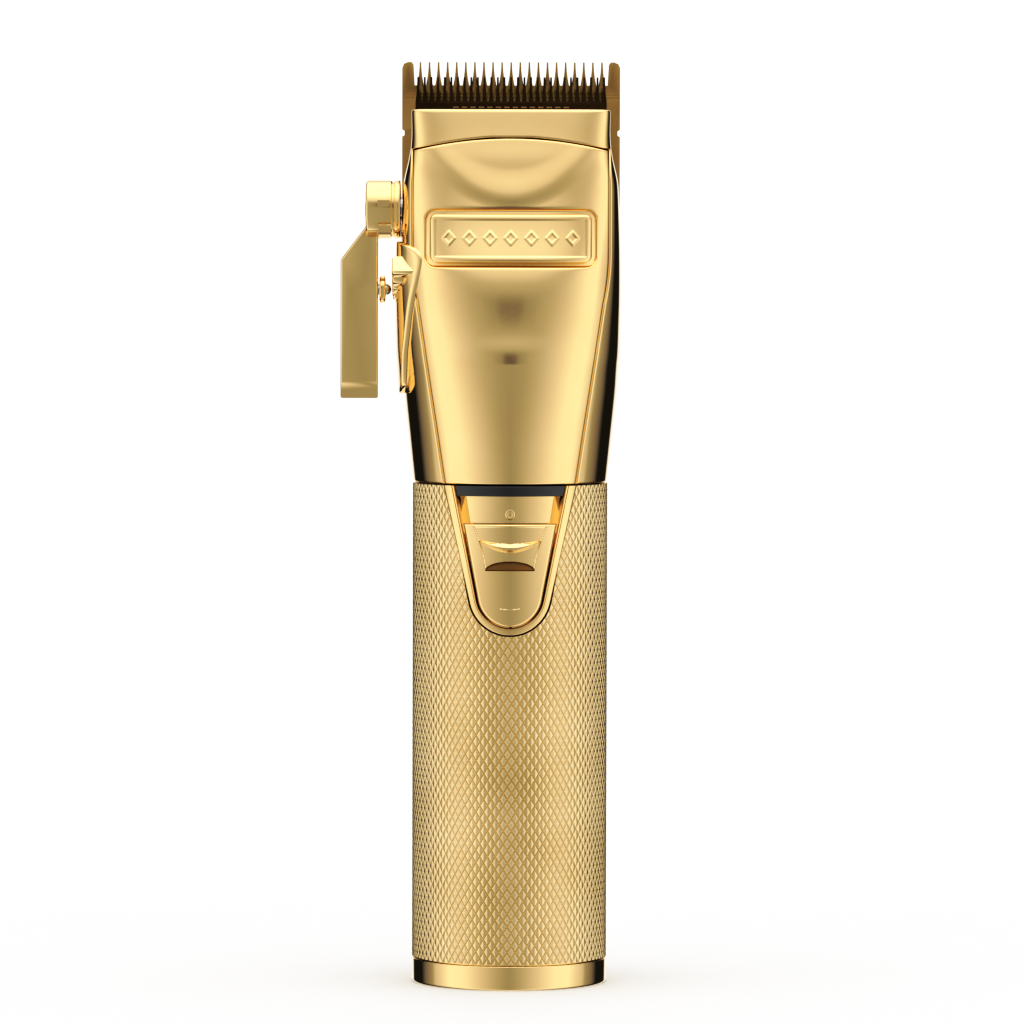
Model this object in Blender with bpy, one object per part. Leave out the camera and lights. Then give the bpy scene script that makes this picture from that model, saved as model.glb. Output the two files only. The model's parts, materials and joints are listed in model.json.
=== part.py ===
"""Cordless hair clipper: knurled handle, polished head, taper lever, fixed and moving blade.

Metres, +Z up. The origin is the centre of the base, the front with the badge faces -Y, and the
taper lever is on the -X side. The lever is modelled in its open position, blade set for the
longest cut.
"""
from math import acos, atan2, cos, hypot, pi, radians, sin, sqrt, tan

import bmesh
import bpy
from mathutils import Matrix, Vector

MM = 0.001
GAP = 0.3 * MM          # between pieces that rest on each other
RUN = 0.4 * MM          # between pieces that move past each other
FAR = 60 * MM           # past every piece, for cutters
MERGE = 0.002 * MM      # corners closer than this are one

# Handle
GRIP_RADIUS = 20.0 * MM
GRIP_LENGTH = 97.9 * MM
SLEEVE_WALL = 1.2 * MM
CHASSIS_WALL = 1.6 * MM
CAP_HEIGHT = 5.0 * MM
CAP_FLOOR = 2.2 * MM
CAP_CHAMFER = 0.5 * MM
CAP_SPIGOT = 4.0 * MM
CAP_SCREW_REACH = 11.5 * MM
CAP_SCREW_LENGTH = 8.2 * MM
DECK_THICKNESS = 2.0 * MM
LEDGE_WIDTH = 1.5 * MM     # of the chassis under the bezel

# Head
HEAD_LENGTH = 76.4 * MM
SHELL_WALL = 1.6 * MM
HEAD_STATIONS = (
    # share of the head's length, growth over the grip's radius in millimetres of half width,
    # front depth and rear depth, and how square the section is
    (0.000, -0.1, 0.0, 0.0, 2.00),
    (0.120, 0.9, 0.9, 0.3, 2.10),
    (0.240, 1.9, 1.9, 0.2, 2.30),
    (0.315, 2.3, 2.4, -0.2, 2.45),
    (0.350, 2.5, 2.0, -0.7, 2.50),
    (0.400, 2.6, 0.9, -1.7, 2.60),
    (0.500, 2.7, -1.3, -4.0, 3.00),
    (0.615, 2.6, -4.0, -7.1, 3.50),
    (0.760, 2.2, -7.2, -8.0, 4.20),
    (0.810, 1.9, -8.3, -8.0, 4.60),
    (0.870, 0.9, -9.6, -8.0, 5.20),
    (0.920, 0.4, -10.8, -8.0, 6.00),
    (1.000, 0.4, -12.6, -8.0, 7.00),
)
AROUND = 44
HEAD_LEVELS = 12
POST_RADIUS = 2.2 * MM
POST_INSET = 7.5 * MM
POST_RISE = 1.2 * MM       # above the foot of the crank
POST_DROP = 1.5 * MM       # in front of the blade seat
HOUSING_SCREW_LENGTH = 9.0 * MM

# Front cover, badge and nose
COVER_FOOT_INSET = 6.6 * MM
COVER_BEND_INSET = 1.0 * MM
COVER_BEND_HEIGHT = 36.6 * MM
COVER_TOP_GROWTH = 0.2 * MM
COVER_TOP_HEIGHT = 47.0 * MM
ARC_DROP = 5.8 * MM
ARC_SAG = 2.5 * MM
BADGE_HALF_WIDTH = 16.5 * MM
BADGE_HALF_HEIGHT = 4.9 * MM
BADGE_CORNER = 1.3 * MM
BADGE_DROP = 26.3 * MM
BADGE_GROOVE = 0.9 * MM
BADGE_POCKET = 0.8 * MM
BADGE_PROUD = 0.5 * MM
BADGE_ROOM = 9.0 * MM      # above and below the badge, for its cutters
NOSE_DEPTH = 14.0 * MM     # of the shell that the nose is cut from

# Switch panel in the grip's notch
NOTCH_HALF_WIDTH = 13.74 * MM
NOTCH_TIP_RADIUS = 8.5 * MM
NOTCH_DEPTH = 30.6 * MM
BEZEL_WALL = 2.9 * MM
BEZEL_PROUD = 0.2 * MM
SLIDER_HALF_WIDTH = 9.5 * MM
SLIDER_DROP = 7.8 * MM
SLIDER_MARGIN = 1.9 * MM
SLIDER_THICKNESS = 1.5 * MM
SLIDER_PROUD = 0.9 * MM
SWITCH_TRAVEL = 4.0 * MM
RIDGE_HALF_WIDTH = 6.4 * MM
RIDGE_HEIGHT = 2.6 * MM
RIDGE_DROP = 12.5 * MM
RIDGE_PROUD = 0.9 * MM
RIDGE_ROOT = 0.5 * MM      # how deep a joined piece starts inside the slider
LENS_HALF_WIDTH = 11.5 * MM
LENS_HEIGHT = 2.3 * MM
STEM_HALF = 1.2 * MM
STEM_DROP = 16.0 * MM
STEM_REACH = 5.6 * MM

# Blades
BLADE_WIDTH = 45.0 * MM
BLADE_HEIGHT = 37.0 * MM
BLADE_THICKNESS = 2.0 * MM
BLADE_TIP_THICKNESS = 0.7 * MM
BLADE_REACH = 10.0 * MM
BLADE_SETBACK = 10.3 * MM
BLADE_SCREW_SPACING = 26.0 * MM
BLADE_SCREW_RADIUS = 1.5 * MM
BLADE_SCREW_HEAD = 3.0 * MM
BLADE_SCREW_RISE = 6.0 * MM
BLADE_BEVEL = 17.0 * MM
BLADE_CORNER = 1.2 * MM
TOOTH_LAND = 0.5 * MM
TOOTH_SWELL = 0.36         # half width of a tooth's root, as a share of the pitch
TOOTH_PITCH = 1.876 * MM
TOOTH_DEPTH = 4.8 * MM
GUARD_TOOTH = 2.4 * MM
TOOTH_COUNT = int((BLADE_WIDTH - 2 * GUARD_TOOTH) / TOOTH_PITCH)
CUTTER_MARGIN = 2.6 * MM
CUTTER_TIP_DROP = 3.1 * MM
CUTTER_HEIGHT = 18.0 * MM
CUTTER_THICKNESS = 1.7 * MM
CUTTER_TOOTH_PITCH = 1.36 * MM
CUTTER_TOOTH_DEPTH = 5.1 * MM
CUTTER_LAND = 0.45 * MM
SEAT_WALL = 2.5 * MM
SEAT_DROP = 12.3 * MM
SEAT_HEIGHT = 17.0 * MM
STROKE_HALF = 1.2 * MM

# Taper lever, cam and carriage
LEVER_DROP = 20.5 * MM
LEVER_TURN = radians(40.0)
HUB_RADIUS = 6.0 * MM
HUB_LENGTH = 7.1 * MM
ARM_INNER = 4.6 * MM
ARM_WIDTH = 7.7 * MM
ARM_LENGTH = 38.7 * MM
ARM_THICKNESS = 4.0 * MM
ARM_SHOULDER = 10.3 * MM
CAM_SHAFT_RADIUS = 2.5 * MM
CAM_THROW = 3.5 * MM
CAM_PIN_RADIUS = 1.2 * MM
CAM_REST = radians(20.0)
CAM_PIN_LENGTH = 2.9 * MM
CAM_DISC_MARGIN = 0.3 * MM
CAM_DISC_THICKNESS = 1.5 * MM
BUSH_RADIUS = 3.2 * MM
BUSH_REACH = 1.5 * MM
HUB_EDGE = 0.5 * MM
HUB_ROOF = 2.2 * MM        # between the hub's face and the shaft's socket
LEVER_SCREW_LENGTH = 4.0 * MM
CARRIAGE_HALF_WIDTH = 11.5 * MM
CARRIAGE_THICKNESS = 1.8 * MM
CARRIAGE_HEIGHT = 15.5 * MM
EAR_WIDTH = 2.0 * MM
EAR_BELOW = 3.2 * MM
EAR_ABOVE = 3.6 * MM
EAR_REACH = 2.6 * MM
EAR_SLOT = 1.7 * MM
GUIDE_REACH = 7.6 * MM
GUIDE_RISE = 10.0 * MM
GUIDE_HEAD = 1.8 * MM
LEAF_INNER = 6.2 * MM
LEAF_OUTER = 10.4 * MM
LEAF_THICKNESS = 0.5 * MM
LEAF_DROP = 2.5 * MM
LEAF_RISE = 5.0 * MM
DETENT_RADIUS = 16.4 * MM
DETENT_COUNT = 5
DETENT_DEPTH = 0.7 * MM
DETENT_HOLE = 1.3 * MM
DETENT_FACE = 1.5 * MM
PLUNGER_RADIUS = 1.2 * MM
PLUNGER_LENGTH = 3.0 * MM    # inside the arm
PLUNGER_POINT = 0.7 * MM
PLUNGER_BORE = 1.65 * MM
SPRING_ROOM = 6.0 * MM
SPRING_WIRE = 0.4 * MM
COLLAR_RADIUS = 2.8 * MM
COLLAR_NECK = 2.3 * MM
COLLAR_LENGTH = 1.5 * MM
PAD_MARGIN = 2.2 * MM
PAD_OVERRUN = radians(6.0)
LEAF_PLATE_THICKNESS = 1.1 * MM
LEAF_CORNERS = (
    # the leaf under the detent pad, in millimetres along Y and above the click pin
    (3.0, -3.0), (2.6, 6.0), (-2.0, 9.2), (-7.0, 9.8), (-13.0, 8.0),
    (-14.0, 2.0), (-12.0, -8.0), (-9.0, -17.0), (-5.0, -21.0), (-2.0, -19.0),
)

# Motor and drive
MOTOR_RADIUS = 10.5 * MM
MOTOR_LENGTH = 28.0 * MM
MOTOR_DROP = 43.3 * MM
SHAFT_RADIUS = 1.15 * MM
CRANK_RADIUS = 4.2 * MM
CRANK_THICKNESS = 3.2 * MM
CRANK_THROW = STROKE_HALF
CRANK_PIN_RADIUS = 1.0 * MM
CRANK_PIN_LENGTH = 6.2 * MM
FORK_HEIGHT = 4.5 * MM
FORK_WALL = 1.8 * MM
DRIVER_HALF_WIDTH = 14.0 * MM
DRIVER_THICKNESS = 2.7 * MM
DRIVER_ARM_HALF = 3.4 * MM
DRIVER_ARM_THICKNESS = 2.6 * MM
DRIVER_ARM_BACK = 1.1 * MM
CRANK_SOCKET = 2.4 * MM
CRANK_CUT = 2.6 * MM
BRACKET_THICKNESS = 2.0 * MM

# Electrics
BATTERY_RADIUS = 9.1 * MM
BATTERY_LENGTH = 65.0 * MM
BATTERY_FOOT = 12.0 * MM
BOARD_THICKNESS = 1.4 * MM
BOARD_INSET = 7.5 * MM
BOARD_LENGTH = 24.0 * MM
JACK_RADIUS = 4.2 * MM
JACK_BORE = 2.8 * MM
JACK_BACK = 8.5 * MM
SCREW_RADIUS = 1.0 * MM
SCREW_HEAD_RADIUS = 1.9 * MM
SCREW_HEAD_HEIGHT = 1.2 * MM

# Heights and planes worked out from the sizes above
SEAM_Z = CAP_HEIGHT + GRIP_LENGTH
NOSE_TOP = SEAM_Z + HEAD_LENGTH
BLADE_TIP = NOSE_TOP + BLADE_REACH
SEAT_Y = GRIP_RADIUS - BLADE_SETBACK
BLADE_FRONT = SEAT_Y + GAP
LEVER_Z = NOSE_TOP - LEVER_DROP
CHASSIS_RADIUS = GRIP_RADIUS - SLEEVE_WALL - GAP
CHASSIS_BORE = CHASSIS_RADIUS - CHASSIS_WALL
MOTOR_TOP = NOSE_TOP - MOTOR_DROP
MOTOR_FOOT = MOTOR_TOP - MOTOR_LENGTH
BRACKET_FOOT = MOTOR_TOP + GAP + 1.7 * MM
CRANK_FOOT = BRACKET_FOOT + 3.6 * MM
PIN_TOP = CRANK_FOOT + CRANK_THICKNESS + CRANK_PIN_LENGTH
FORK_FOOT = CRANK_FOOT + CRANK_THICKNESS + 1.4 * MM
FORK_TOP = FORK_FOOT + FORK_HEIGHT
CUTTER_TIP = BLADE_TIP - CUTTER_TIP_DROP
CUTTER_FOOT = CUTTER_TIP - CUTTER_HEIGHT
CUTTER_BACK = SEAT_Y
CUTTER_FRONT = CUTTER_BACK - CUTTER_THICKNESS
SEAT_TOP = NOSE_TOP - SEAT_DROP
BLADE_FOOT = BLADE_TIP - BLADE_HEIGHT
DRIVER_BACK = CUTTER_FRONT - GAP
DRIVER_FRONT = DRIVER_BACK - DRIVER_THICKNESS
SPRING_BACK = DRIVER_FRONT - GAP
CARRIAGE_BACK = SEAT_Y - SEAT_WALL - 3.9 * MM
CARRIAGE_FRONT = CARRIAGE_BACK - CARRIAGE_THICKNESS
CARRIAGE_FOOT = FORK_TOP + 1.0 * MM
TAPER_TRAVEL = CAM_THROW * 2 * sin(CAM_REST)
DRIVER_TOP = NOSE_TOP - SHELL_WALL - RUN - TAPER_TRAVEL
BOARD_FRONT = -(GRIP_RADIUS - BOARD_INSET)
BATTERY_Y = CHASSIS_BORE - BATTERY_RADIUS - 1.6 * MM

# name: base colour, metallic, roughness
MATERIALS = {
    "polished_gold": ((0.78, 0.57, 0.25), 1.0, 0.10),
    "knurled_gold": ((0.80, 0.62, 0.30), 1.0, 0.28),
    "blade_gold": ((0.34, 0.23, 0.09), 1.0, 0.30),
    "dark_blade": ((0.10, 0.06, 0.03), 1.0, 0.35),
    "smoked_lens": ((0.03, 0.03, 0.04), 0.0, 0.12),
    "black_plastic": ((0.03, 0.03, 0.03), 0.0, 0.50),
    "grey_plastic": ((0.30, 0.30, 0.31), 0.0, 0.55),
    "steel": ((0.62, 0.62, 0.63), 1.0, 0.28),
    "spring_steel": ((0.50, 0.49, 0.47), 1.0, 0.30),
    "bronze": ((0.55, 0.36, 0.18), 1.0, 0.40),
    "magnet": ((0.12, 0.12, 0.13), 0.6, 0.60),
    "battery_wrap": ((0.05, 0.22, 0.45), 0.0, 0.40),
    "circuit_board": ((0.02, 0.16, 0.08), 0.0, 0.45),
    "led": ((0.85, 0.90, 1.00), 0.0, 0.20),
}


# ---------------------------------------------------------------- modelling helpers

def clear_scene():
    for item in list(bpy.data.objects):
        bpy.data.objects.remove(item)


def material(name):
    found = bpy.data.materials.get(name)
    if found:
        return found
    colour, metallic, roughness = MATERIALS[name]
    made = bpy.data.materials.new(name)
    made.use_nodes = True
    shader = made.node_tree.nodes["Principled BSDF"]
    shader.inputs["Base Color"].default_value = (*colour, 1.0)
    shader.inputs["Metallic"].default_value = metallic
    shader.inputs["Roughness"].default_value = roughness
    made.diffuse_color = (*colour, 1.0)
    return made


def closed(shape):
    bmesh.ops.recalc_face_normals(shape, faces=shape.faces)
    return shape


def prism(outline, low, high, axis="Y"):
    """A flat outline carried along an axis. It is in XZ for Y, in YZ for X and in XY for Z."""
    place = {
        "Y": lambda a, b, along: (a, along, b),
        "X": lambda a, b, along: (along, a, b),
        "Z": lambda a, b, along: (a, b, along),
    }[axis]
    shape = bmesh.new()
    face = shape.faces.new([shape.verts.new(place(a, b, low)) for a, b in outline])
    grown = bmesh.ops.extrude_face_region(shape, geom=[face])["geom"]
    moved = [item for item in grown if isinstance(item, bmesh.types.BMVert)]
    bmesh.ops.translate(shape, verts=moved, vec=Vector(place(0.0, 0.0, high - low)))
    return closed(shape)


def box(low, high):
    (x0, y0, z0), (x1, y1, z1) = low, high
    return prism([(x0, z0), (x1, z0), (x1, z1), (x0, z1)], y0, y1)


def turned(profile, segments=32, centre=(0.0, 0.0, 0.0), axis="Z", phase=0.0):
    """A closed profile of (radius, height) points turned about an axis through the centre.

    The phase turns the corners by a share of a segment, so that holes don't share them.
    """
    shape = bmesh.new()
    rings = []
    for radius, height in profile:
        if radius == 0.0:
            rings.append([shape.verts.new((0.0, 0.0, height))])
            continue
        angles = [2 * pi * (step + phase) / segments for step in range(segments)]
        rings.append([shape.verts.new((radius * cos(a), radius * sin(a), height)) for a in angles])
    for first, second in zip(rings, rings[1:] + rings[:1]):
        if len(first) == 1 and len(second) == 1:
            continue
        for step in range(segments):
            after = (step + 1) % segments
            corners = [first[step % len(first)], first[after % len(first)],
                       second[after % len(second)], second[step % len(second)]]
            shape.faces.new(list(dict.fromkeys(corners)))
    turn = {"Z": Matrix.Identity(4), "X": Matrix.Rotation(pi / 2, 4, "Y"),
            "Y": Matrix.Rotation(-pi / 2, 4, "X")}[axis]
    shape.transform(Matrix.Translation(centre) @ turn)
    return closed(shape)


def rod(radius, low, high, centre=(0.0, 0.0), axis="Z", segments=24):
    """A plain cylinder between two places on an axis. The centre is in the plane across it."""
    first, second = centre
    middle = {"Z": (first, second, 0.0), "X": (0.0, first, second), "Y": (first, 0.0, second)}[axis]
    profile = [(0.0, low), (radius, low), (radius, high), (0.0, high)]
    return turned(profile, segments, middle, axis, 0.3)


def tube(outer, inner, low, high, segments=64, centre=(0.0, 0.0, 0.0)):
    return turned([(inner, low), (outer, low), (outer, high), (inner, high)], segments, centre)


def loft(rings):
    """A closed skin through rings of points, with both ends filled."""
    shape = bmesh.new()
    rows = [[shape.verts.new(point) for point in ring] for ring in rings]
    for low, high in zip(rows, rows[1:]):
        for step in range(len(low)):
            after = (step + 1) % len(low)
            shape.faces.new((low[step], low[after], high[after], high[step]))
    shape.faces.new(rows[0])
    shape.faces.new(rows[-1])
    return closed(shape)


def combine(body, tool, operation):
    """The body joined with the tool, cut by it or kept only inside it."""
    pair = []
    for label, part in (("body", body), ("tool", tool)):
        mesh = bpy.data.meshes.new(label)
        part.to_mesh(mesh)
        part.free()
        pair.append(bpy.data.objects.new(label, mesh))
        bpy.context.scene.collection.objects.link(pair[-1])
    modifier = pair[0].modifiers.new("Boolean", "BOOLEAN")
    modifier.operation = operation
    modifier.object = pair[1]
    result = bmesh.new()
    result.from_object(pair[0], bpy.context.evaluated_depsgraph_get())
    bmesh.ops.remove_doubles(result, verts=result.verts, dist=MERGE)
    for item in pair:
        mesh = item.data
        bpy.data.objects.remove(item)
        bpy.data.meshes.remove(mesh)
    return result


def join(body, *tools):
    for tool in tools:
        body = combine(body, tool, "UNION")
    return body


def cut(body, *tools):
    for tool in tools:
        body = combine(body, tool, "DIFFERENCE")
    return body


def keep(body, *tools):
    for tool in tools:
        body = combine(body, tool, "INTERSECT")
    return body


def pivot(name, place, parent=None):
    """An empty on a joint's axis."""
    made = bpy.data.objects.new(name, None)
    made.empty_display_size = 5 * MM
    bpy.context.scene.collection.objects.link(made)
    made.parent = parent
    made.location = Vector(place) - (parent.location if parent else Vector())
    return made


def add(name, shape, finish, parent=None):
    """The shape as a named object, with its origin at its parent's place."""
    origin = Vector()
    above = parent
    while above:
        origin += above.location
        above = above.parent
    shape.transform(Matrix.Translation(-origin))
    bmesh.ops.triangulate(shape, faces=[face for face in shape.faces if len(face.verts) > 4])
    mesh = bpy.data.meshes.new(name)
    shape.to_mesh(mesh)
    shape.free()
    mesh.materials.append(material(finish))
    mesh.shade_smooth()
    mesh.set_sharp_from_angle(angle=radians(30.0))
    made = bpy.data.objects.new(name, mesh)
    made.parent = parent
    bpy.context.scene.collection.objects.link(made)
    return made


def screw(place, direction, length, radius=SCREW_RADIUS, head=SCREW_HEAD_RADIUS):
    """A pan-head screw with a straight slot. Its head sits at the place and its shank runs on."""
    rise = SCREW_HEAD_HEIGHT
    body = turned([(0.0, -rise), (head - 0.3 * MM, -rise), (head, -0.6 * rise), (head, 0.0),
                   (radius, 0.0), (radius, length), (0.0, length)], 12, phase=0.3)
    width = 0.25 * MM
    body = cut(body, box((-FAR, -width, -2 * rise), (FAR, width, -0.5 * rise)))
    turn = Vector((0.0, 0.0, 1.0)).rotation_difference(Vector(direction)).to_matrix().to_4x4()
    body.transform(Matrix.Translation(place) @ turn)
    return body


# ---------------------------------------------------------------- shared outlines

def station(share):
    """Half width, front depth, rear depth and squareness of the head at a share of its length."""
    rows = HEAD_STATIONS
    share = min(max(share, 0.0), 1.0)
    index = max(i for i in range(len(rows) - 1) if rows[i][0] <= share)
    low, high = rows[index], rows[index + 1]
    before, after = rows[max(index - 1, 0)], rows[min(index + 2, len(rows) - 1)]
    span = high[0] - low[0]
    part = (share - low[0]) / span
    blended = []
    for column in range(1, 5):
        slope_low = (high[column] - before[column]) / (high[0] - before[0]) * span
        slope_high = (after[column] - low[column]) / (after[0] - low[0]) * span
        blended.append((2 * part**3 - 3 * part**2 + 1) * low[column]
                       + (part**3 - 2 * part**2 + part) * slope_low
                       + (3 * part**2 - 2 * part**3) * high[column]
                       + (part**3 - part**2) * slope_high)
    width, front, rear, square = blended
    return GRIP_RADIUS + width * MM, GRIP_RADIUS + front * MM, GRIP_RADIUS + rear * MM, square


def head_ring(height, inset):
    """One section of the head, moved inwards by the inset."""
    width, front, rear, square = station((height - SEAM_Z) / HEAD_LENGTH)
    points = []
    for step in range(AROUND):
        angle = 2 * pi * step / AROUND
        across = abs(cos(angle)) ** (2 / square) * (1 if cos(angle) >= 0 else -1)
        along = abs(sin(angle)) ** (2 / square) * (1 if sin(angle) >= 0 else -1)
        depth = rear if along > 0 else front
        points.append(((width - inset) * across, (depth - inset) * along, height))
    return points


def head_solid(inset, low, high, levels=HEAD_LEVELS):
    heights = [low + (high - low) * level / levels for level in range(levels + 1)]
    return loft([head_ring(height, inset) for height in heights])


def head_surface(height, across):
    """How far in front of the axis the head's outside is, at a place across it."""
    width, front, _, square = station((height - SEAM_Z) / HEAD_LENGTH)
    share = min(abs(across) / width, 1.0)
    return front * (1 - share**square) ** (1 / square)


def arc_height(across, drop=0.0):
    """Height of the seam between the front cover and the nose."""
    radius = (GRIP_RADIUS**2 + ARC_SAG**2) / (2 * ARC_SAG)
    return NOSE_TOP - ARC_DROP - drop - radius + sqrt(radius**2 - across**2)


def above_arc(drop=0.0):
    half = 1.5 * GRIP_RADIUS
    steps = 16
    arc = [half - 2 * half * step / steps for step in range(steps + 1)]
    outline = [(-half, NOSE_TOP + FAR), (half, NOSE_TOP + FAR)]
    return prism(outline + [(across, arc_height(across, drop)) for across in arc], -FAR, FAR)


def cover_half_width(height):
    """Half width of the front cover between its side seams."""
    foot = GRIP_RADIUS - COVER_FOOT_INSET
    bend = GRIP_RADIUS - COVER_BEND_INSET
    top = GRIP_RADIUS + COVER_TOP_GROWTH
    rise = height - SEAM_Z
    if rise < COVER_BEND_HEIGHT:
        return foot + (bend - foot) * rise / COVER_BEND_HEIGHT
    part = min((rise - COVER_BEND_HEIGHT) / (COVER_TOP_HEIGHT - COVER_BEND_HEIGHT), 1.0)
    return bend + (top - bend) * (2 * part - part**2)


def cover_block(grow):
    """The space that the front cover is cut from, wider by grow for the pieces around it."""
    rings = []
    levels = 18
    for level in range(levels + 1):
        height = SEAM_Z - GAP + (HEAD_LENGTH + 2 * GAP) * level / levels
        half = cover_half_width(height) + grow
        back = grow + 1.2 * SHELL_WALL - head_surface(height, half)
        rings.append([(-half, -FAR, height), (half, -FAR, height),
                      (half, back, height), (-half, back, height)])
    return loft(rings)


def shield(half_width, top, tip, tip_radius, steps=10):
    """A V with a round tip: straight sides from its top corners to the tip's circle."""
    centre = tip + tip_radius
    rise = top - centre
    reach = hypot(half_width, rise)
    start = atan2(rise, half_width) - acos(tip_radius / reach)
    outline = [(half_width, top)]
    for step in range(steps + 1):
        angle = start + (-pi - 2 * start) * step / steps
        outline.append((tip_radius * cos(angle), centre + tip_radius * sin(angle)))
    return outline + [(-half_width, top)]


def notch(grow, top=SEAM_Z):
    """Outline of the grip's notch. Its top corners move out along the sides."""
    tip = SEAM_Z - NOTCH_DEPTH
    return shield(NOTCH_HALF_WIDTH + grow, top, tip - grow, NOTCH_TIP_RADIUS + grow)


def slider_outline(grow, rise=0.0):
    """Outline of the slider, or of its pocket, whose sides run on up as far as it travels."""
    tip = SEAM_Z - NOTCH_DEPTH + SLIDER_MARGIN - grow
    top = SEAM_Z - SLIDER_DROP + grow
    radius = NOTCH_TIP_RADIUS - SLIDER_MARGIN + grow
    half = SLIDER_HALF_WIDTH + grow
    reach = hypot(half, top - tip - radius)
    lean = acos(radius / reach) - atan2(top - tip - radius, half)
    return shield(half + rise * tan(lean), top + rise, tip, radius)


def rounded(half_width, half_height, corner, middle, steps=5):
    """A rectangle with round corners, centred at a height."""
    outline = []
    for quarter, (sx, sz) in enumerate(((1, 1), (-1, 1), (-1, -1), (1, -1))):
        for step in range(steps + 1):
            angle = pi / 2 * (quarter + step / steps)
            outline.append((sx * (half_width - corner) + corner * cos(angle),
                            middle + sz * (half_height - corner) + corner * sin(angle)))
    return outline


# ---------------------------------------------------------------- handle

def build_base_cap():
    """Bottom cap with a spigot that enters the chassis, a socket hole and two screw holes."""
    spigot = CHASSIS_BORE - GAP
    inner = spigot - CHASSIS_WALL
    body = turned([
        (0.0, 0.0), (GRIP_RADIUS - CAP_CHAMFER, 0.0), (GRIP_RADIUS, CAP_CHAMFER),
        (GRIP_RADIUS, CAP_HEIGHT), (spigot, CAP_HEIGHT), (spigot, CAP_HEIGHT + CAP_SPIGOT),
        (inner, CAP_HEIGHT + CAP_SPIGOT), (inner, CAP_FLOOR), (0.0, CAP_FLOOR)], 64)
    body = cut(body, rod(JACK_RADIUS + GAP, -FAR, CAP_FLOOR + GAP, (0.0, JACK_BACK)))
    for side in (-1, 1):
        place = (side * CAP_SCREW_REACH, 0.0)
        body = cut(body, rod(SCREW_RADIUS + GAP, -FAR, FAR, place, segments=16),
                   rod(SCREW_HEAD_RADIUS + GAP, -FAR, SCREW_HEAD_HEIGHT + GAP, place, segments=20))
    add("base_cap", body, "polished_gold")
    for side, word in ((-1, "left"), (1, "right")):
        place = (side * CAP_SCREW_REACH, 0.0, SCREW_HEAD_HEIGHT + GAP / 2)
        add("base_screw_" + word, screw(place, (0, 0, 1), CAP_SCREW_LENGTH), "steel")


def build_jack():
    """Charging socket: a barrel with a contact pin, open at the bottom."""
    top = 10.0 * MM
    pin = 0.5 * MM
    foot = 0.4 * MM
    depth = 7.5 * MM
    body = turned([(0.0, top), (JACK_RADIUS, top), (JACK_RADIUS, foot), (JACK_BORE, foot),
                   (JACK_BORE, depth), (pin, depth), (pin, 1.5 * MM), (0.0, 1.5 * MM)],
                  24, (0.0, JACK_BACK, 0.0))
    add("charging_jack", body, "black_plastic")


def build_grip():
    """Metal sleeve with the notch for the switch panel, and the plastic tube inside it."""
    sleeve = tube(GRIP_RADIUS, GRIP_RADIUS - SLEEVE_WALL, CAP_HEIGHT + GAP, SEAM_Z - GAP / 2)
    sleeve = cut(sleeve, prism(notch(GAP / 2, SEAM_Z + GAP), -FAR, 0.0))
    add("grip_sleeve", sleeve, "knurled_gold")
    foot = CAP_HEIGHT + GAP
    top = SEAM_Z - 2 * GAP
    chassis = tube(CHASSIS_RADIUS, CHASSIS_BORE, foot, top, 40)
    floor = CAP_HEIGHT + CAP_SPIGOT + GAP
    deck = rod(CHASSIS_BORE + CHASSIS_WALL / 2, floor, floor + DECK_THICKNESS, segments=40)
    chassis = join(chassis, deck)
    chassis = cut(chassis, prism(notch(-LEDGE_WIDTH, top + GAP), -FAR, 0.0),
                  rod(JACK_RADIUS + GAP, 0.0, FAR / 2, (0.0, JACK_BACK)))
    bezel_reach = GRIP_RADIUS + BEZEL_PROUD - BEZEL_WALL - GAP
    channel = keep(prism(notch(GAP, top + GAP), -FAR, 0.0),
                   tube(FAR, bezel_reach, 0.0, top + 2 * GAP, 48))
    chassis = cut(chassis, channel)
    for side in (-1, 1):
        hole = rod(SCREW_RADIUS + GAP, 0.0, FAR / 2, (side * CAP_SCREW_REACH, 0.0), segments=16)
        chassis = cut(chassis, hole)
    add("chassis_tube", chassis, "black_plastic")


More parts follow.
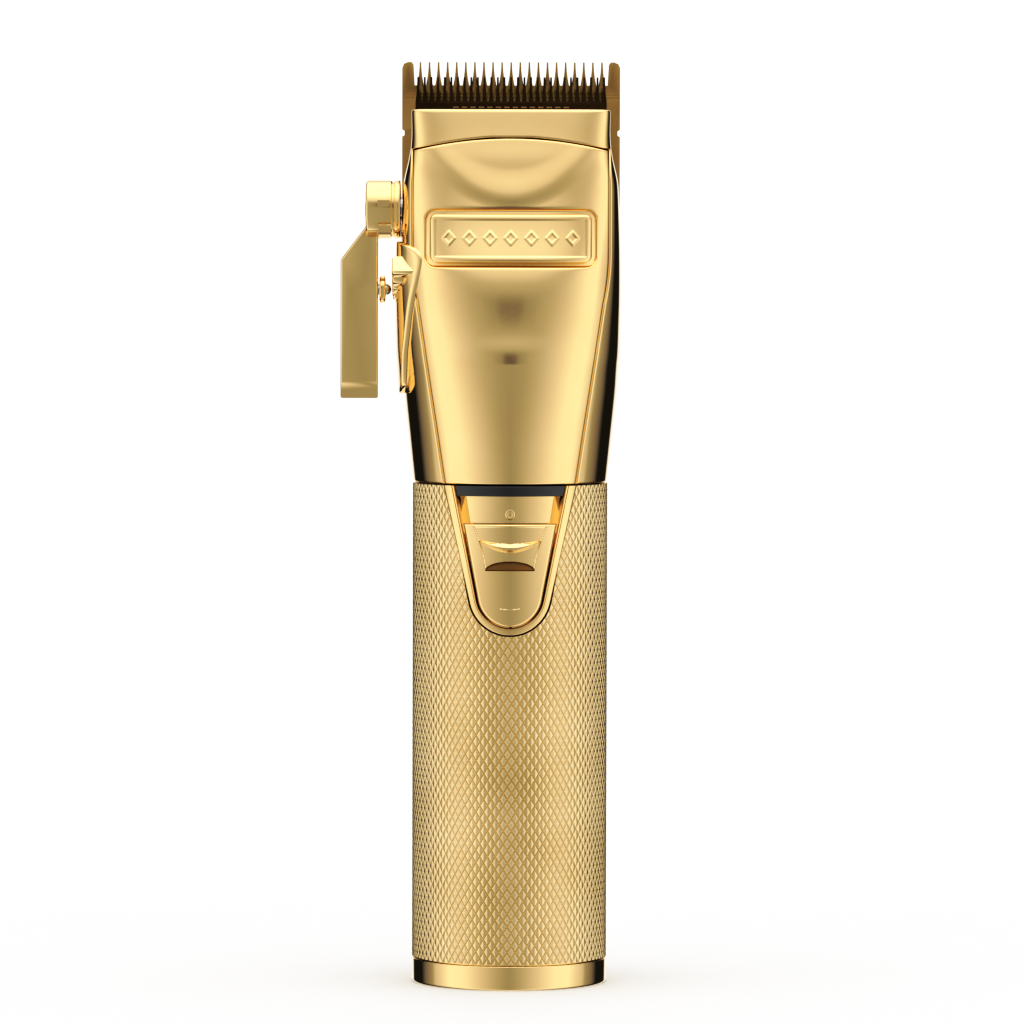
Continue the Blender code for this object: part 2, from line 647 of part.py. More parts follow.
def build_switch_panel():
    """Bezel with its window and slider pocket, the smoked lens and the thumb slider."""
    outside = GRIP_RADIUS + BEZEL_PROUD
    inside = outside - BEZEL_WALL
    pocket_floor = GRIP_RADIUS + SLIDER_PROUD - SLIDER_THICKNESS - GAP
    top = SEAM_Z - GAP / 2
    tip = SEAM_Z - NOTCH_DEPTH
    stem_z = SEAM_Z - STEM_DROP
    bezel = keep(tube(outside, inside, tip - GAP, top, 96), prism(notch(-GAP / 2, top), -FAR, 0.0))
    pocket = prism(slider_outline(RUN / 2, SWITCH_TRAVEL), -FAR, 0.0)
    bezel = cut(bezel, cut(pocket, rod(pocket_floor, 0.0, FAR * 3, segments=96)))
    lens_foot = top - LENS_HEIGHT
    window = box((-LENS_HALF_WIDTH, -FAR, lens_foot), (LENS_HALF_WIDTH, 0.0, top + GAP))
    bezel = cut(bezel, window)
    slot = STEM_HALF + RUN
    bezel = cut(bezel, box((-slot, -FAR, stem_z - slot), (slot, 0.0, stem_z + slot + SWITCH_TRAVEL)))
    add("switch_bezel", bezel, "polished_gold")

    lens_half = LENS_HALF_WIDTH - GAP / 2
    lens = keep(tube(GRIP_RADIUS, inside, lens_foot + GAP / 2, top, 96),
                box((-lens_half, -FAR, lens_foot + GAP / 2), (lens_half, 0.0, top)))
    add("indicator_lens", lens, "smoked_lens")

    guide = pivot("switch_guide", (0.0, -GRIP_RADIUS, SEAM_Z - SLIDER_DROP))
    face = GRIP_RADIUS + SLIDER_PROUD
    slider = keep(tube(face, face - SLIDER_THICKNESS, 0.0, FAR * 3, 96),
                  prism(slider_outline(0.0), -FAR, 0.0))
    ridge_top = SEAM_Z - RIDGE_DROP
    ridge_outline = [(RIDGE_HALF_WIDTH, ridge_top), (-RIDGE_HALF_WIDTH, ridge_top)]
    for step in range(1, 8):
        across = -RIDGE_HALF_WIDTH + 2 * RIDGE_HALF_WIDTH * step / 8
        sag = RIDGE_HEIGHT * (1 - (across / RIDGE_HALF_WIDTH) ** 2)
        ridge_outline.append((across, ridge_top - sag))
    ridge = keep(tube(face + RIDGE_PROUD, face - RIDGE_ROOT, 0.0, FAR * 3, 96),
                 prism(ridge_outline, -FAR, 0.0))
    stem = box((-STEM_HALF, -face + RIDGE_ROOT, stem_z - STEM_HALF),
               (STEM_HALF, -face + SLIDER_THICKNESS + STEM_REACH, stem_z + STEM_HALF))
    add("switch_slider", join(slider, ridge, stem), "polished_gold", guide)


def build_electrics():
    """Battery in its cradle with welded tabs, control board with switch and light."""
    top = BATTERY_FOOT + BATTERY_LENGTH
    nub = 3.0 * MM
    rim = 0.8 * MM
    cell = turned([(0.0, BATTERY_FOOT), (BATTERY_RADIUS - rim, BATTERY_FOOT),
                   (BATTERY_RADIUS, BATTERY_FOOT + rim), (BATTERY_RADIUS, top - rim),
                   (BATTERY_RADIUS - rim, top), (nub, top), (nub, top + rim), (0.0, top + rim)],
                  32, (0.0, BATTERY_Y, 0.0))
    add("battery_cell", cell, "battery_wrap")
    cradle_bore = BATTERY_RADIUS + GAP
    cradle = tube(cradle_bore + 1.0 * MM, cradle_bore, BATTERY_FOOT + 6 * MM, top - 4 * MM, 32,
                  (0.0, BATTERY_Y, 0.0))
    open_front = box((-FAR, -FAR, 0.0), (FAR, BATTERY_Y + 1.0 * MM, FAR * 3))
    add("battery_cradle", cut(cradle, open_front), "grey_plastic")
    half = 2.5 * MM
    thin = 0.3 * MM
    leg = BATTERY_Y - BATTERY_RADIUS - 2 * GAP
    for word, height, clear in (("top", top + rim + GAP, 1), ("bottom", BATTERY_FOOT - GAP - thin, -1)):
        strip = box((-half, leg - thin, height), (half, BATTERY_Y + half, height + thin))
        turn = sorted((height + thin / 2, height - clear * 6 * MM))
        upright = box((-half, leg - thin, turn[0]), (half, leg, turn[1]))
        add("battery_tab_" + word, join(strip, upright), "steel")

    board_back = BOARD_FRONT + BOARD_THICKNESS
    chord = sqrt(CHASSIS_BORE**2 - BOARD_FRONT**2) - 1.0 * MM
    board_top = SEAM_Z - 1.5 * MM
    board = box((-chord, BOARD_FRONT, board_top - BOARD_LENGTH), (chord, board_back, board_top))
    chip = box((-3.5 * MM, board_back - 0.2 * MM, board_top - 15 * MM),
               (3.5 * MM, board_back + 1.1 * MM, board_top - 8 * MM))
    add("control_board", join(board, chip), "circuit_board")

    stem_z = SEAM_Z - STEM_DROP
    stem_end = -(GRIP_RADIUS + SLIDER_PROUD) + SLIDER_THICKNESS + STEM_REACH
    mouth = STEM_HALF + RUN
    switch_front = stem_end - 0.9 * MM
    switch = box((-4 * MM, switch_front, stem_z - 4 * MM),
                 (4 * MM, BOARD_FRONT - GAP, stem_z + 4 * MM + SWITCH_TRAVEL))
    switch = cut(switch, box((-mouth, -FAR, stem_z - mouth),
                             (mouth, stem_end + RUN, stem_z + mouth + SWITCH_TRAVEL)))
    add("power_switch", switch, "black_plastic")
    lamp_z = board_top - 1.4 * MM
    add("charge_led", box((-1.4 * MM, BOARD_FRONT - GAP - 1.2 * MM, lamp_z - 0.8 * MM),
                          (1.4 * MM, BOARD_FRONT - GAP, lamp_z + 0.8 * MM)), "led")


# ---------------------------------------------------------------- head

def build_head():
    """Rear housing, front cover and nose, all cut from one smooth shell."""
    foot = SEAM_Z + GAP / 2
    wall = SHELL_WALL
    screw_x = GRIP_RADIUS - POST_INSET
    screw_z = CRANK_FOOT + POST_RISE
    post_end = SEAT_Y - POST_DROP

    shell = cut(head_solid(0.0, foot, NOSE_TOP), head_solid(wall, foot - GAP, NOSE_TOP + GAP))
    cover_space = cut(cover_block(0.0), above_arc(GAP / 2))
    cover = keep(shell.copy(), cover_space)
    for side in (-1, 1):
        place = (side * screw_x, screw_z)
        post = cut(rod(POST_RADIUS, -GRIP_RADIUS, post_end, place, "Y", 20),
                   rod(SCREW_RADIUS + GAP / 2, -2 * MM, FAR, place, "Y", 12))
        cover = join(cover, keep(post, head_solid(wall / 2, foot, NOSE_TOP)))
    badge_z = NOSE_TOP - BADGE_DROP
    pocket = rounded(BADGE_HALF_WIDTH + BADGE_GROOVE, BADGE_HALF_HEIGHT + BADGE_GROOVE,
                     BADGE_CORNER + BADGE_GROOVE, badge_z)
    plate = rounded(BADGE_HALF_WIDTH, BADGE_HALF_HEIGHT, BADGE_CORNER, badge_z)
    low, high = badge_z - BADGE_ROOM, badge_z + BADGE_ROOM
    cover = cut(cover, cut(prism(pocket, -FAR, 0.0), head_solid(BADGE_POCKET, low, high, 3)))
    add("front_cover", cover, "polished_gold")
    badge = keep(prism(plate, -FAR, 0.0), head_solid(-BADGE_PROUD, low, high, 3))
    badge = cut(badge, head_solid(BADGE_POCKET - GAP, low - GAP, high + GAP, 3))
    add("badge_plate", badge, "polished_gold")

    nose_back = CUTTER_FRONT - RUN
    nose = cut(head_solid(0.0, NOSE_TOP - NOSE_DEPTH, NOSE_TOP, 5),
               head_solid(wall, NOSE_TOP - NOSE_DEPTH - MM, NOSE_TOP - wall, 5))
    nose = keep(nose, above_arc(-GAP / 2))
    nose = cut(nose, box((-FAR, nose_back, 0.0), (FAR, FAR, FAR * 4)))
    add("blade_cover", nose, "polished_gold")

    housing = join(shell, keep(
        box((-FAR, SEAT_Y - SEAT_WALL, SEAT_TOP - SEAT_HEIGHT), (FAR, FAR, SEAT_TOP + GAP)),
        head_solid(wall / 2, foot, NOSE_TOP)))
    behind_blade = [(SEAT_Y, BLADE_FOOT - GAP), (FAR, BLADE_FOOT - GAP), (FAR, FAR * 4),
                    (SEAT_Y - SEAT_WALL - GAP, FAR * 4), (SEAT_Y - SEAT_WALL - GAP, SEAT_TOP),
                    (SEAT_Y, SEAT_TOP)]
    housing = cut(
        housing,
        prism(behind_blade, -FAR, FAR, "X"),
        cover_block(GAP),
        above_arc(GAP / 2),
        rod(BUSH_RADIUS + GAP, -FAR, -GRIP_RADIUS / 2, (0.0, LEVER_Z), "X"))
    for side in (-1, 1):
        blade_screw = (side * BLADE_SCREW_SPACING / 2, BLADE_FOOT + BLADE_SCREW_RISE)
        housing = cut(housing, rod(BLADE_SCREW_RADIUS + GAP, 0.0, FAR, blade_screw, "Y", 16))
        guide = (side * GUIDE_REACH, BLADE_FOOT + GUIDE_RISE)
        housing = cut(housing, rod(SCREW_RADIUS + GAP / 2, 0.0, FAR, guide, "Y", 16))
        place = (side * screw_x, screw_z)
        rear = screw_seat(screw_x, screw_z)
        hole, pocket = SCREW_RADIUS + GAP, SCREW_HEAD_RADIUS + GAP
        housing = cut(housing, turned([(0.0, 0.0), (hole, 0.0), (hole, rear), (pocket, rear),
                                       (pocket, FAR), (0.0, FAR)], 20, (place[0], 0.0, place[1]), "Y"))
    add("rear_housing", housing, "polished_gold")
    for side, word in ((-1, "left"), (1, "right")):
        rear = screw_seat(screw_x, screw_z)
        place = (side * screw_x, rear + GAP / 2, screw_z)
        add("housing_screw_" + word, screw(place, (0, -1, 0), HOUSING_SCREW_LENGTH), "steel")


def screw_seat(across, height):
    """Where a housing screw's head seats, just inside the head's rear face."""
    width, _, rear, square = station((height - SEAM_Z) / HEAD_LENGTH)
    surface = rear * (1 - (across / width) ** square) ** (1 / square)
    return surface - SCREW_HEAD_HEIGHT * 0.6


# ---------------------------------------------------------------- blades

def comb(half_width, foot, root, tip, count, pitch, land, guard):
    """Outline of a toothed blade: corners at the foot, then teeth from right to left."""
    outline = [(-half_width, foot), (half_width, foot)]
    bevel = BLADE_CORNER
    if guard:
        outline += [(half_width, tip - bevel), (half_width - bevel, tip),
                    (half_width - guard, tip), (half_width - guard, root)]
    else:
        outline += [(half_width, root)]
    first = pitch * (count - 1) / 2
    for index in range(count):
        middle = first - index * pitch
        swell = middle + pitch * TOOTH_SWELL, middle - pitch * TOOTH_SWELL
        outline += [(swell[0], root), (middle + land / 2, tip), (middle - land / 2, tip),
                    (swell[1], root)]
    if guard:
        outline += [(guard - half_width, root), (guard - half_width, tip),
                    (bevel - half_width, tip), (-half_width, tip - bevel)]
    else:
        outline += [(-half_width, root)]
    return outline


def build_blades():
    """Fixed blade screwed to the housing's seat, and the moving blade that strokes on it."""
    half = BLADE_WIDTH / 2
    outline = comb(half, BLADE_FOOT, BLADE_TIP - TOOTH_DEPTH, BLADE_TIP, TOOTH_COUNT, TOOTH_PITCH,
                   TOOTH_LAND, GUARD_TOOTH)
    back = BLADE_FRONT + BLADE_THICKNESS
    blade = prism(outline, BLADE_FRONT, back)
    bevel_foot = BLADE_TIP - BLADE_BEVEL
    bevel_tip = BLADE_FRONT + BLADE_TIP_THICKNESS
    wedge = [(back, bevel_foot), (bevel_tip, BLADE_TIP), (bevel_tip, BLADE_TIP + MM),
             (back + 3 * MM, BLADE_TIP + MM), (back + 3 * MM, bevel_foot)]
    blade = cut(blade, prism(wedge, -FAR, FAR, "X"))
    for side, word in ((-1, "left"), (1, "right")):
        place = (side * BLADE_SCREW_SPACING / 2, BLADE_FOOT + BLADE_SCREW_RISE)
        blade = cut(blade, rod(BLADE_SCREW_RADIUS + GAP, 0.0, FAR, place, "Y", 20))
        head = (place[0], back + GAP / 2, place[1])
        add("blade_screw_" + word,
            screw(head, (0, -1, 0), BLADE_THICKNESS + SEAT_WALL + 0.8 * MM, BLADE_SCREW_RADIUS,
                  BLADE_SCREW_HEAD), "steel")
    add("fixed_blade", blade, "blade_gold")

    carriage = pivot("taper_guide", (0.0, CARRIAGE_BACK, CARRIAGE_FOOT))
    stroke = pivot("stroke_guide", (0.0, CUTTER_BACK, CUTTER_FOOT), carriage)
    half = BLADE_WIDTH / 2 - CUTTER_MARGIN
    count = int(2 * half / CUTTER_TOOTH_PITCH)
    pitch = 2 * half / (count + 0.2)
    outline = comb(half, CUTTER_FOOT, CUTTER_TIP - CUTTER_TOOTH_DEPTH, CUTTER_TIP,
                   count, pitch, CUTTER_LAND, 0.0)
    add("moving_blade", prism(outline, CUTTER_FRONT, CUTTER_BACK), "dark_blade", stroke)
    return carriage, stroke


def build_drive(carriage, stroke):
    """Motor, crank and the fork that carries the stroke to the moving blade."""
    can_wall = 0.8 * MM
    boss = 3.5 * MM
    bush = 2.6 * MM
    bore = SHAFT_RADIUS + 0.2 * MM
    can_bore = MOTOR_RADIUS - can_wall
    boss_top = MOTOR_TOP + 1.4 * MM
    bush_bore = bush + GAP / 2
    can = turned([
        (MOTOR_RADIUS, MOTOR_FOOT), (MOTOR_RADIUS, MOTOR_TOP), (boss, MOTOR_TOP), (boss, boss_top),
        (bush_bore, boss_top), (bush_bore, MOTOR_TOP - can_wall - MM),
        (boss, MOTOR_TOP - can_wall - MM), (boss, MOTOR_TOP - can_wall),
        (can_bore, MOTOR_TOP - can_wall), (can_bore, MOTOR_FOOT)], 28)
    motor_screws = [(side * 6.5 * MM, 0.0) for side in (-1, 1)]
    for place in motor_screws:
        hole = rod(SCREW_RADIUS + GAP / 2, MOTOR_TOP - 2 * MM, MOTOR_TOP + MM, place, segments=16)
        can = cut(can, hole)
    add("motor_can", can, "steel")
    add("motor_bush_top", tube(bush, bore, MOTOR_TOP - can_wall - MM, boss_top - 0.2 * MM, 20), "bronze")
    magnet_outer = can_bore - GAP
    magnet_inner = magnet_outer - 1.7 * MM
    magnet_top = MOTOR_TOP - can_wall - 3.5 * MM
    add("motor_magnet", tube(magnet_outer, magnet_inner, MOTOR_FOOT + 5 * MM, magnet_top, 32), "magnet")
    cap_foot = MOTOR_FOOT - 1.2 * MM
    cap = turned([(bush_bore, cap_foot), (MOTOR_RADIUS, cap_foot), (MOTOR_RADIUS, MOTOR_FOOT - GAP),
                  (magnet_outer, MOTOR_FOOT - GAP), (magnet_outer, MOTOR_FOOT + 1.5 * MM),
                  (bush_bore, MOTOR_FOOT + 1.5 * MM)], 32)
    add("motor_end_cap", cap, "black_plastic")
    add("motor_bush_bottom", tube(bush, bore, cap_foot, MOTOR_FOOT + 1.5 * MM, 20), "bronze")

    axis = pivot("motor_axis", (0.0, 0.0, MOTOR_FOOT))
    core = magnet_inner - 0.5 * MM
    rotor = turned([(0.0, cap_foot), (SHAFT_RADIUS, cap_foot), (SHAFT_RADIUS, MOTOR_FOOT + 6 * MM),
                    (core, MOTOR_FOOT + 6 * MM), (core, magnet_top - MM),
                    (SHAFT_RADIUS, magnet_top - MM), (SHAFT_RADIUS, CRANK_FOOT + CRANK_SOCKET),
                    (0.0, CRANK_FOOT + CRANK_SOCKET)], 24)
    add("motor_rotor", rotor, "steel", axis)

    disc_top = CRANK_FOOT + CRANK_THICKNESS
    crank = rod(CRANK_RADIUS, CRANK_FOOT, disc_top, segments=24)
    crank = join(crank, rod(CRANK_PIN_RADIUS, disc_top - MM, PIN_TOP, (CRANK_THROW, 0.0), segments=16))
    crank = cut(crank, rod(SHAFT_RADIUS + GAP / 3, 0.0, CRANK_FOOT + CRANK_SOCKET + GAP / 3, segments=20))
    lighten = box((-FAR, -FAR, 0.0), (FAR, -CRANK_CUT, FAR * 4))
    lighten.transform(Matrix.Rotation(pi / 2, 4, "Z"))
    add("crank", cut(crank, lighten), "steel", axis)

    bracket_top = BRACKET_FOOT + BRACKET_THICKNESS
    bracket = keep(box((-FAR, -FAR, BRACKET_FOOT), (FAR, FAR, bracket_top)),
                   head_solid(SHELL_WALL + GAP, BRACKET_FOOT - MM, bracket_top + MM, 3))
    bracket = cut(bracket, rod(boss + GAP, 0.0, FAR * 4, segments=24))
    for place in motor_screws:
        spacer = rod(POST_RADIUS, MOTOR_TOP + GAP, BRACKET_FOOT + MM, place, segments=16)
        bracket = join(bracket, spacer)
    for place in motor_screws:
        bracket = cut(bracket, rod(SCREW_RADIUS + GAP, 0.0, FAR * 4, place, segments=16))
    add("motor_bracket", bracket, "grey_plastic")
    for place, word in zip(motor_screws, ("left", "right")):
        top = (place[0], place[1], bracket_top + GAP / 2)
        length = bracket_top - MOTOR_TOP + can_wall
        add("motor_screw_" + word, screw(top, (0, 0, -1), length, head=1.7 * MM), "steel")

    slot = CRANK_PIN_RADIUS + 2 * STROKE_HALF + GAP
    tine = slot + FORK_WALL
    reach = CRANK_PIN_RADIUS + STROKE_HALF + 1.6 * MM
    arm_back = DRIVER_BACK - DRIVER_ARM_BACK
    fork = box((-tine, -reach, FORK_FOOT), (tine, arm_back, FORK_TOP))
    fork = cut(fork, box((-slot, -FAR, 0.0), (slot, reach, FAR * 4)))
    arm = box((-DRIVER_ARM_HALF, arm_back - DRIVER_ARM_THICKNESS, FORK_FOOT + MM),
              (DRIVER_ARM_HALF, arm_back, CUTTER_FOOT + 2 * MM))
    head = box((-DRIVER_HALF_WIDTH, DRIVER_FRONT, CUTTER_FOOT),
               (DRIVER_HALF_WIDTH, DRIVER_BACK, DRIVER_TOP))
    add("blade_driver", join(head, arm, fork), "black_plastic", stroke)


# ---------------------------------------------------------------- taper lever and carriage

def cam_pin_place():
    """Y and Z of the cam's pin at rest."""
    return -CAM_THROW * cos(CAM_REST), LEVER_Z - CAM_THROW * sin(CAM_REST)


def build_carriage(carriage):
    """Slide behind the nose with two guide screws, leaf springs and a slotted ear for the cam."""
    half = CARRIAGE_HALF_WIDTH
    top = CARRIAGE_FOOT + CARRIAGE_HEIGHT
    plate = box((-half, CARRIAGE_FRONT, CARRIAGE_FOOT), (half, CARRIAGE_BACK, top))
    pin_y, pin_z = cam_pin_place()
    ear = box((-half, pin_y - EAR_REACH, pin_z - EAR_BELOW),
              (EAR_WIDTH - half, CARRIAGE_BACK, pin_z + EAR_ABOVE))
    plate = join(plate, ear)
    room = CAM_PIN_RADIUS + RUN
    plate = cut(plate, box((-FAR, pin_y - EAR_SLOT, pin_z - room),
                           (EAR_WIDTH - half + GAP / 3, pin_y + EAR_SLOT + GAP / 3, pin_z + room)))
    guide_z = BLADE_FOOT + GUIDE_RISE
    slot = SCREW_RADIUS + RUN
    for side, word in ((-1, "left"), (1, "right")):
        across = side * GUIDE_REACH
        plate = cut(plate, box((across - slot, -FAR, guide_z - slot - TAPER_TRAVEL),
                               (across + slot, FAR, guide_z + slot)))
        place = (across, CARRIAGE_FRONT - RUN, guide_z)
        length = SEAT_Y - CARRIAGE_FRONT + RUN - 0.5 * MM
        add("guide_screw_" + word, screw(place, (0, 1, 0), length, head=GUIDE_HEAD), "steel")
        leaf_low = top - LEAF_DROP
        leaf_high = CUTTER_FOOT + LEAF_RISE
        front = CARRIAGE_BACK + GAP
        bend = [(front, leaf_low), (front + LEAF_THICKNESS, leaf_low), (SPRING_BACK, leaf_high),
                (SPRING_BACK - LEAF_THICKNESS, leaf_high)]
        low_x, high_x = sorted((side * LEAF_INNER, side * LEAF_OUTER))
        add("tension_spring_" + word, prism(bend, low_x, high_x, "X"), "spring_steel", carriage)
    add("taper_carriage", plate, "grey_plastic", carriage)


def build_lever():
    """Hub and arm outside, cam shaft through a bush in the housing, click pin in the arm."""
    width = station((LEVER_Z - SEAM_Z) / HEAD_LENGTH)[0]
    hub_inner = -(width + GAP)
    hub_outer = hub_inner - HUB_LENGTH
    axis = pivot("taper_pivot", (hub_inner, 0.0, LEVER_Z))
    arm_inner = hub_inner - ARM_INNER
    arm_outer = arm_inner - ARM_WIDTH
    arm_foot = LEVER_Z - ARM_LENGTH
    edge = HUB_EDGE
    hub = turned([(0.0, hub_outer), (HUB_RADIUS - edge, hub_outer), (HUB_RADIUS, hub_outer + edge),
                  (HUB_RADIUS, hub_inner - edge), (HUB_RADIUS - edge, hub_inner), (0.0, hub_inner)],
                 28, (0.0, 0.0, LEVER_Z), "X")
    arm = prism([(arm_inner, arm_foot), (arm_outer, arm_foot), (arm_outer, LEVER_Z - ARM_SHOULDER),
                 (hub_outer + edge, LEVER_Z - 3 * MM), (arm_inner, LEVER_Z - 3 * MM)],
                -ARM_THICKNESS / 2, ARM_THICKNESS / 2)
    lever = join(hub, arm)
    shaft_end = hub_outer + HUB_ROOF
    lever = cut(lever, rod(CAM_SHAFT_RADIUS + GAP / 3, shaft_end, 0.0, (0.0, LEVER_Z), "X"),
                rod(SCREW_RADIUS + GAP, -FAR, 0.0, (0.0, LEVER_Z), "X", 16),
                rod(SCREW_HEAD_RADIUS + GAP, -FAR, hub_outer + SCREW_HEAD_HEIGHT, (0.0, LEVER_Z), "X"))
    click_z = LEVER_Z - DETENT_RADIUS
    bore_end = arm_inner - SPRING_ROOM
    lever = cut(lever, rod(PLUNGER_BORE, bore_end, 0.0, (0.0, click_z), "X"))
    add("taper_lever", lever, "polished_gold", axis)
    head = (hub_outer + SCREW_HEAD_HEIGHT - GAP / 2, 0.0, LEVER_Z)
    add("lever_screw", screw(head, (1, 0, 0), LEVER_SCREW_LENGTH), "steel", axis)

    cam_inner = -CARRIAGE_HALF_WIDTH - 1.0 * MM
    cam = rod(CAM_SHAFT_RADIUS, shaft_end + GAP, cam_inner - MM, (0.0, LEVER_Z), "X")
    pin_y, pin_z = cam_pin_place()
    disc = rod(CAM_THROW + CAM_PIN_RADIUS + CAM_DISC_MARGIN, cam_inner - CAM_DISC_THICKNESS,
               cam_inner, (0.0, LEVER_Z), "X")
    pin = rod(CAM_PIN_RADIUS, cam_inner - MM, cam_inner + CAM_PIN_LENGTH, (pin_y, pin_z), "X", 20)
    cam = cut(join(cam, disc, pin),
              rod(SCREW_RADIUS + GAP / 2, -FAR, head[0] + LEVER_SCREW_LENGTH + 2 * GAP,
                  (0.0, LEVER_Z), "X", 16))
    add("lever_cam", cam, "steel", axis)
    bush = turned([(CAM_SHAFT_RADIUS + GAP / 3, -width + 0.2 * MM), (BUSH_RADIUS, -width + 0.2 * MM),
                   (BUSH_RADIUS, -width + SHELL_WALL + BUSH_REACH),
                   (CAM_SHAFT_RADIUS + GAP / 3, -width + SHELL_WALL + BUSH_REACH)],
                  24, (0.0, 0.0, LEVER_Z), "X")
    add("cam_bush", bush, "bronze")
    build_click(axis, arm_inner, bore_end, click_z)


def detent_face():
    """Where the flat face of the detent plate is."""
    return -(station((LEVER_Z - DETENT_RADIUS - SEAM_Z) / HEAD_LENGTH)[0] + DETENT_FACE)


def build_click(axis, arm_inner, bore_end, click_z):
    """Spring-loaded pin in the arm and the dimpled plate that it clicks on."""
    face = detent_face()
    fit = PLUNGER_RADIUS + GAP / 2
    collar_end = arm_inner + COLLAR_LENGTH
    sleeve = turned([(fit, collar_end), (COLLAR_NECK, collar_end),
                     (COLLAR_RADIUS, collar_end - COLLAR_RADIUS + COLLAR_NECK),
                     (COLLAR_RADIUS, arm_inner + GAP), (fit, arm_inner + GAP)],
                    24, (0.0, 0.0, click_z), "X")
    add("plunger_sleeve", sleeve, "polished_gold", axis)
    guide = pivot("plunger_guide", (arm_inner, 0.0, click_z), axis)
    tip = face - GAP
    tail = arm_inner - PLUNGER_LENGTH
    plunger = turned([(0.0, tail), (PLUNGER_RADIUS, tail), (PLUNGER_RADIUS, tip - PLUNGER_POINT),
                      (0.5 * PLUNGER_RADIUS, tip), (0.0, tip)],
                     20, (0.0, 0.0, click_z), "X")
    add("detent_plunger", plunger, "steel", guide)
    coil = PLUNGER_RADIUS - SPRING_WIRE
    spring = turned([(coil, bore_end + GAP), (PLUNGER_RADIUS, bore_end + GAP),
                     (PLUNGER_RADIUS, tail - GAP), (coil, tail - GAP)], 16, (0.0, 0.0, click_z), "X")
    add("plunger_spring", spring, "spring_steel", axis)

    low, high = click_z - 22 * MM, click_z + 11 * MM
    leaf = [(along * MM, click_z + rise * MM) for along, rise in LEAF_CORNERS]
    wrap = keep(prism(leaf, -FAR, -GRIP_RADIUS / 3, "X"),
                head_solid(-LEAF_PLATE_THICKNESS, low, high, 6))
    pad = []
    for radius, order in ((DETENT_RADIUS + PAD_MARGIN, 1), (DETENT_RADIUS - PAD_MARGIN, -1)):
        for step in range(9)[::order]:
            angle = -PAD_OVERRUN + (LEVER_TURN + 2 * PAD_OVERRUN) * step / 8
            pad.append((-radius * sin(angle), LEVER_Z - radius * cos(angle)))
    plate = join(wrap, prism(pad, face, -GRIP_RADIUS * 0.8, "X"))
    plate = cut(plate, head_solid(-GAP, low - 5 * MM, high + 5 * MM, 6))
    for index in range(DETENT_COUNT):
        angle = LEVER_TURN * index / (DETENT_COUNT - 1)
        dimple = turned([(0.0, face - MM), (DETENT_HOLE, face - MM), (DETENT_HOLE, face),
                         (0.6 * DETENT_HOLE, face + DETENT_DEPTH), (0.0, face + DETENT_DEPTH)], 16,
                        (0.0, -DETENT_RADIUS * sin(angle), LEVER_Z - DETENT_RADIUS * cos(angle)), "X")
        plate = cut(plate, dimple)
    add("detent_plate", plate, "polished_gold")


def build_clipper():
    clear_scene()
    build_base_cap()
    build_jack()
    build_grip()
    build_switch_panel()
    build_electrics()
    build_head()
    carriage, stroke = build_blades()
    build_drive(carriage, stroke)
    build_carriage(carriage)
    build_lever()


build_clipper()
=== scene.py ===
"""Looks of a cordless hair clipper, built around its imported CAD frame.

Metres, +Z up. The front with the badge faces -Y and the taper lever is on the -X side.
"""
import json
from math import acos, atan2, cos, hypot, pi, radians, sin, sqrt

import bmesh
import bpy
import numpy as np
from mathutils import Matrix, Vector

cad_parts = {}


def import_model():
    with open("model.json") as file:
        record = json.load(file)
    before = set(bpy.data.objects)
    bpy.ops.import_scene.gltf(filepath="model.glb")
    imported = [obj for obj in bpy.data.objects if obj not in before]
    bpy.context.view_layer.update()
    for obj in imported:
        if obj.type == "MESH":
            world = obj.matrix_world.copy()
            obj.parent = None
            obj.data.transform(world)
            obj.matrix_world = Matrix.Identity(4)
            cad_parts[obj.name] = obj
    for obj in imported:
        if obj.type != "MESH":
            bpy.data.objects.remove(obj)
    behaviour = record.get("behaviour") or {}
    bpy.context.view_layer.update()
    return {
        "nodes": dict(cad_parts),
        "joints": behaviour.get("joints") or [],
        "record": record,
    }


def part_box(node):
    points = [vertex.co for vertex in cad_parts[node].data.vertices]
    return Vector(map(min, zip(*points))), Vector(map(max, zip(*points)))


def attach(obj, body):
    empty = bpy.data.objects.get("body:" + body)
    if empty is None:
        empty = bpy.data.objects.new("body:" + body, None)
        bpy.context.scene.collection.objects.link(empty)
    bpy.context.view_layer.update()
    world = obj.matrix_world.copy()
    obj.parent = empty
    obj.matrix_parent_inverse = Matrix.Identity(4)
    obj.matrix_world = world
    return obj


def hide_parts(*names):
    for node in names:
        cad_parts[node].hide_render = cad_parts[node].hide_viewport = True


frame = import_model()

MM = 0.001
GAP = 0.3 * MM
FAR = 60 * MM

# Places read from the frame
GRIP_LOW, GRIP_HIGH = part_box("grip_sleeve")
GRIP_RADIUS = GRIP_HIGH.x
SEAM_Z = GRIP_HIGH.z + GAP / 2
NOSE_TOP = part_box("blade_cover")[1].z
NOSE_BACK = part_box("blade_cover")[1].y
HEAD_LENGTH = NOSE_TOP - SEAM_Z
BLADE_LOW, BLADE_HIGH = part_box("fixed_blade")
CUTTER_LOW, CUTTER_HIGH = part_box("moving_blade")
BADGE_LOW, BADGE_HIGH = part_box("badge_plate")
BADGE_Z = (BADGE_LOW.z + BADGE_HIGH.z) / 2
LEVER_LOW, LEVER_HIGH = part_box("taper_lever")
LEVER_Z = next(joint["pos_m"][2] for joint in frame["joints"] if joint["name"] == "lever_turn")
CLICK_Z = sum(corner.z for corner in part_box("detent_plunger")) / 2
SEAT_Y = CUTTER_HIGH.y
SLIDER_LOW, SLIDER_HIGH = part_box("switch_slider")
LENS_LOW, LENS_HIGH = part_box("indicator_lens")


# ---------------------------------------------------------------- materials

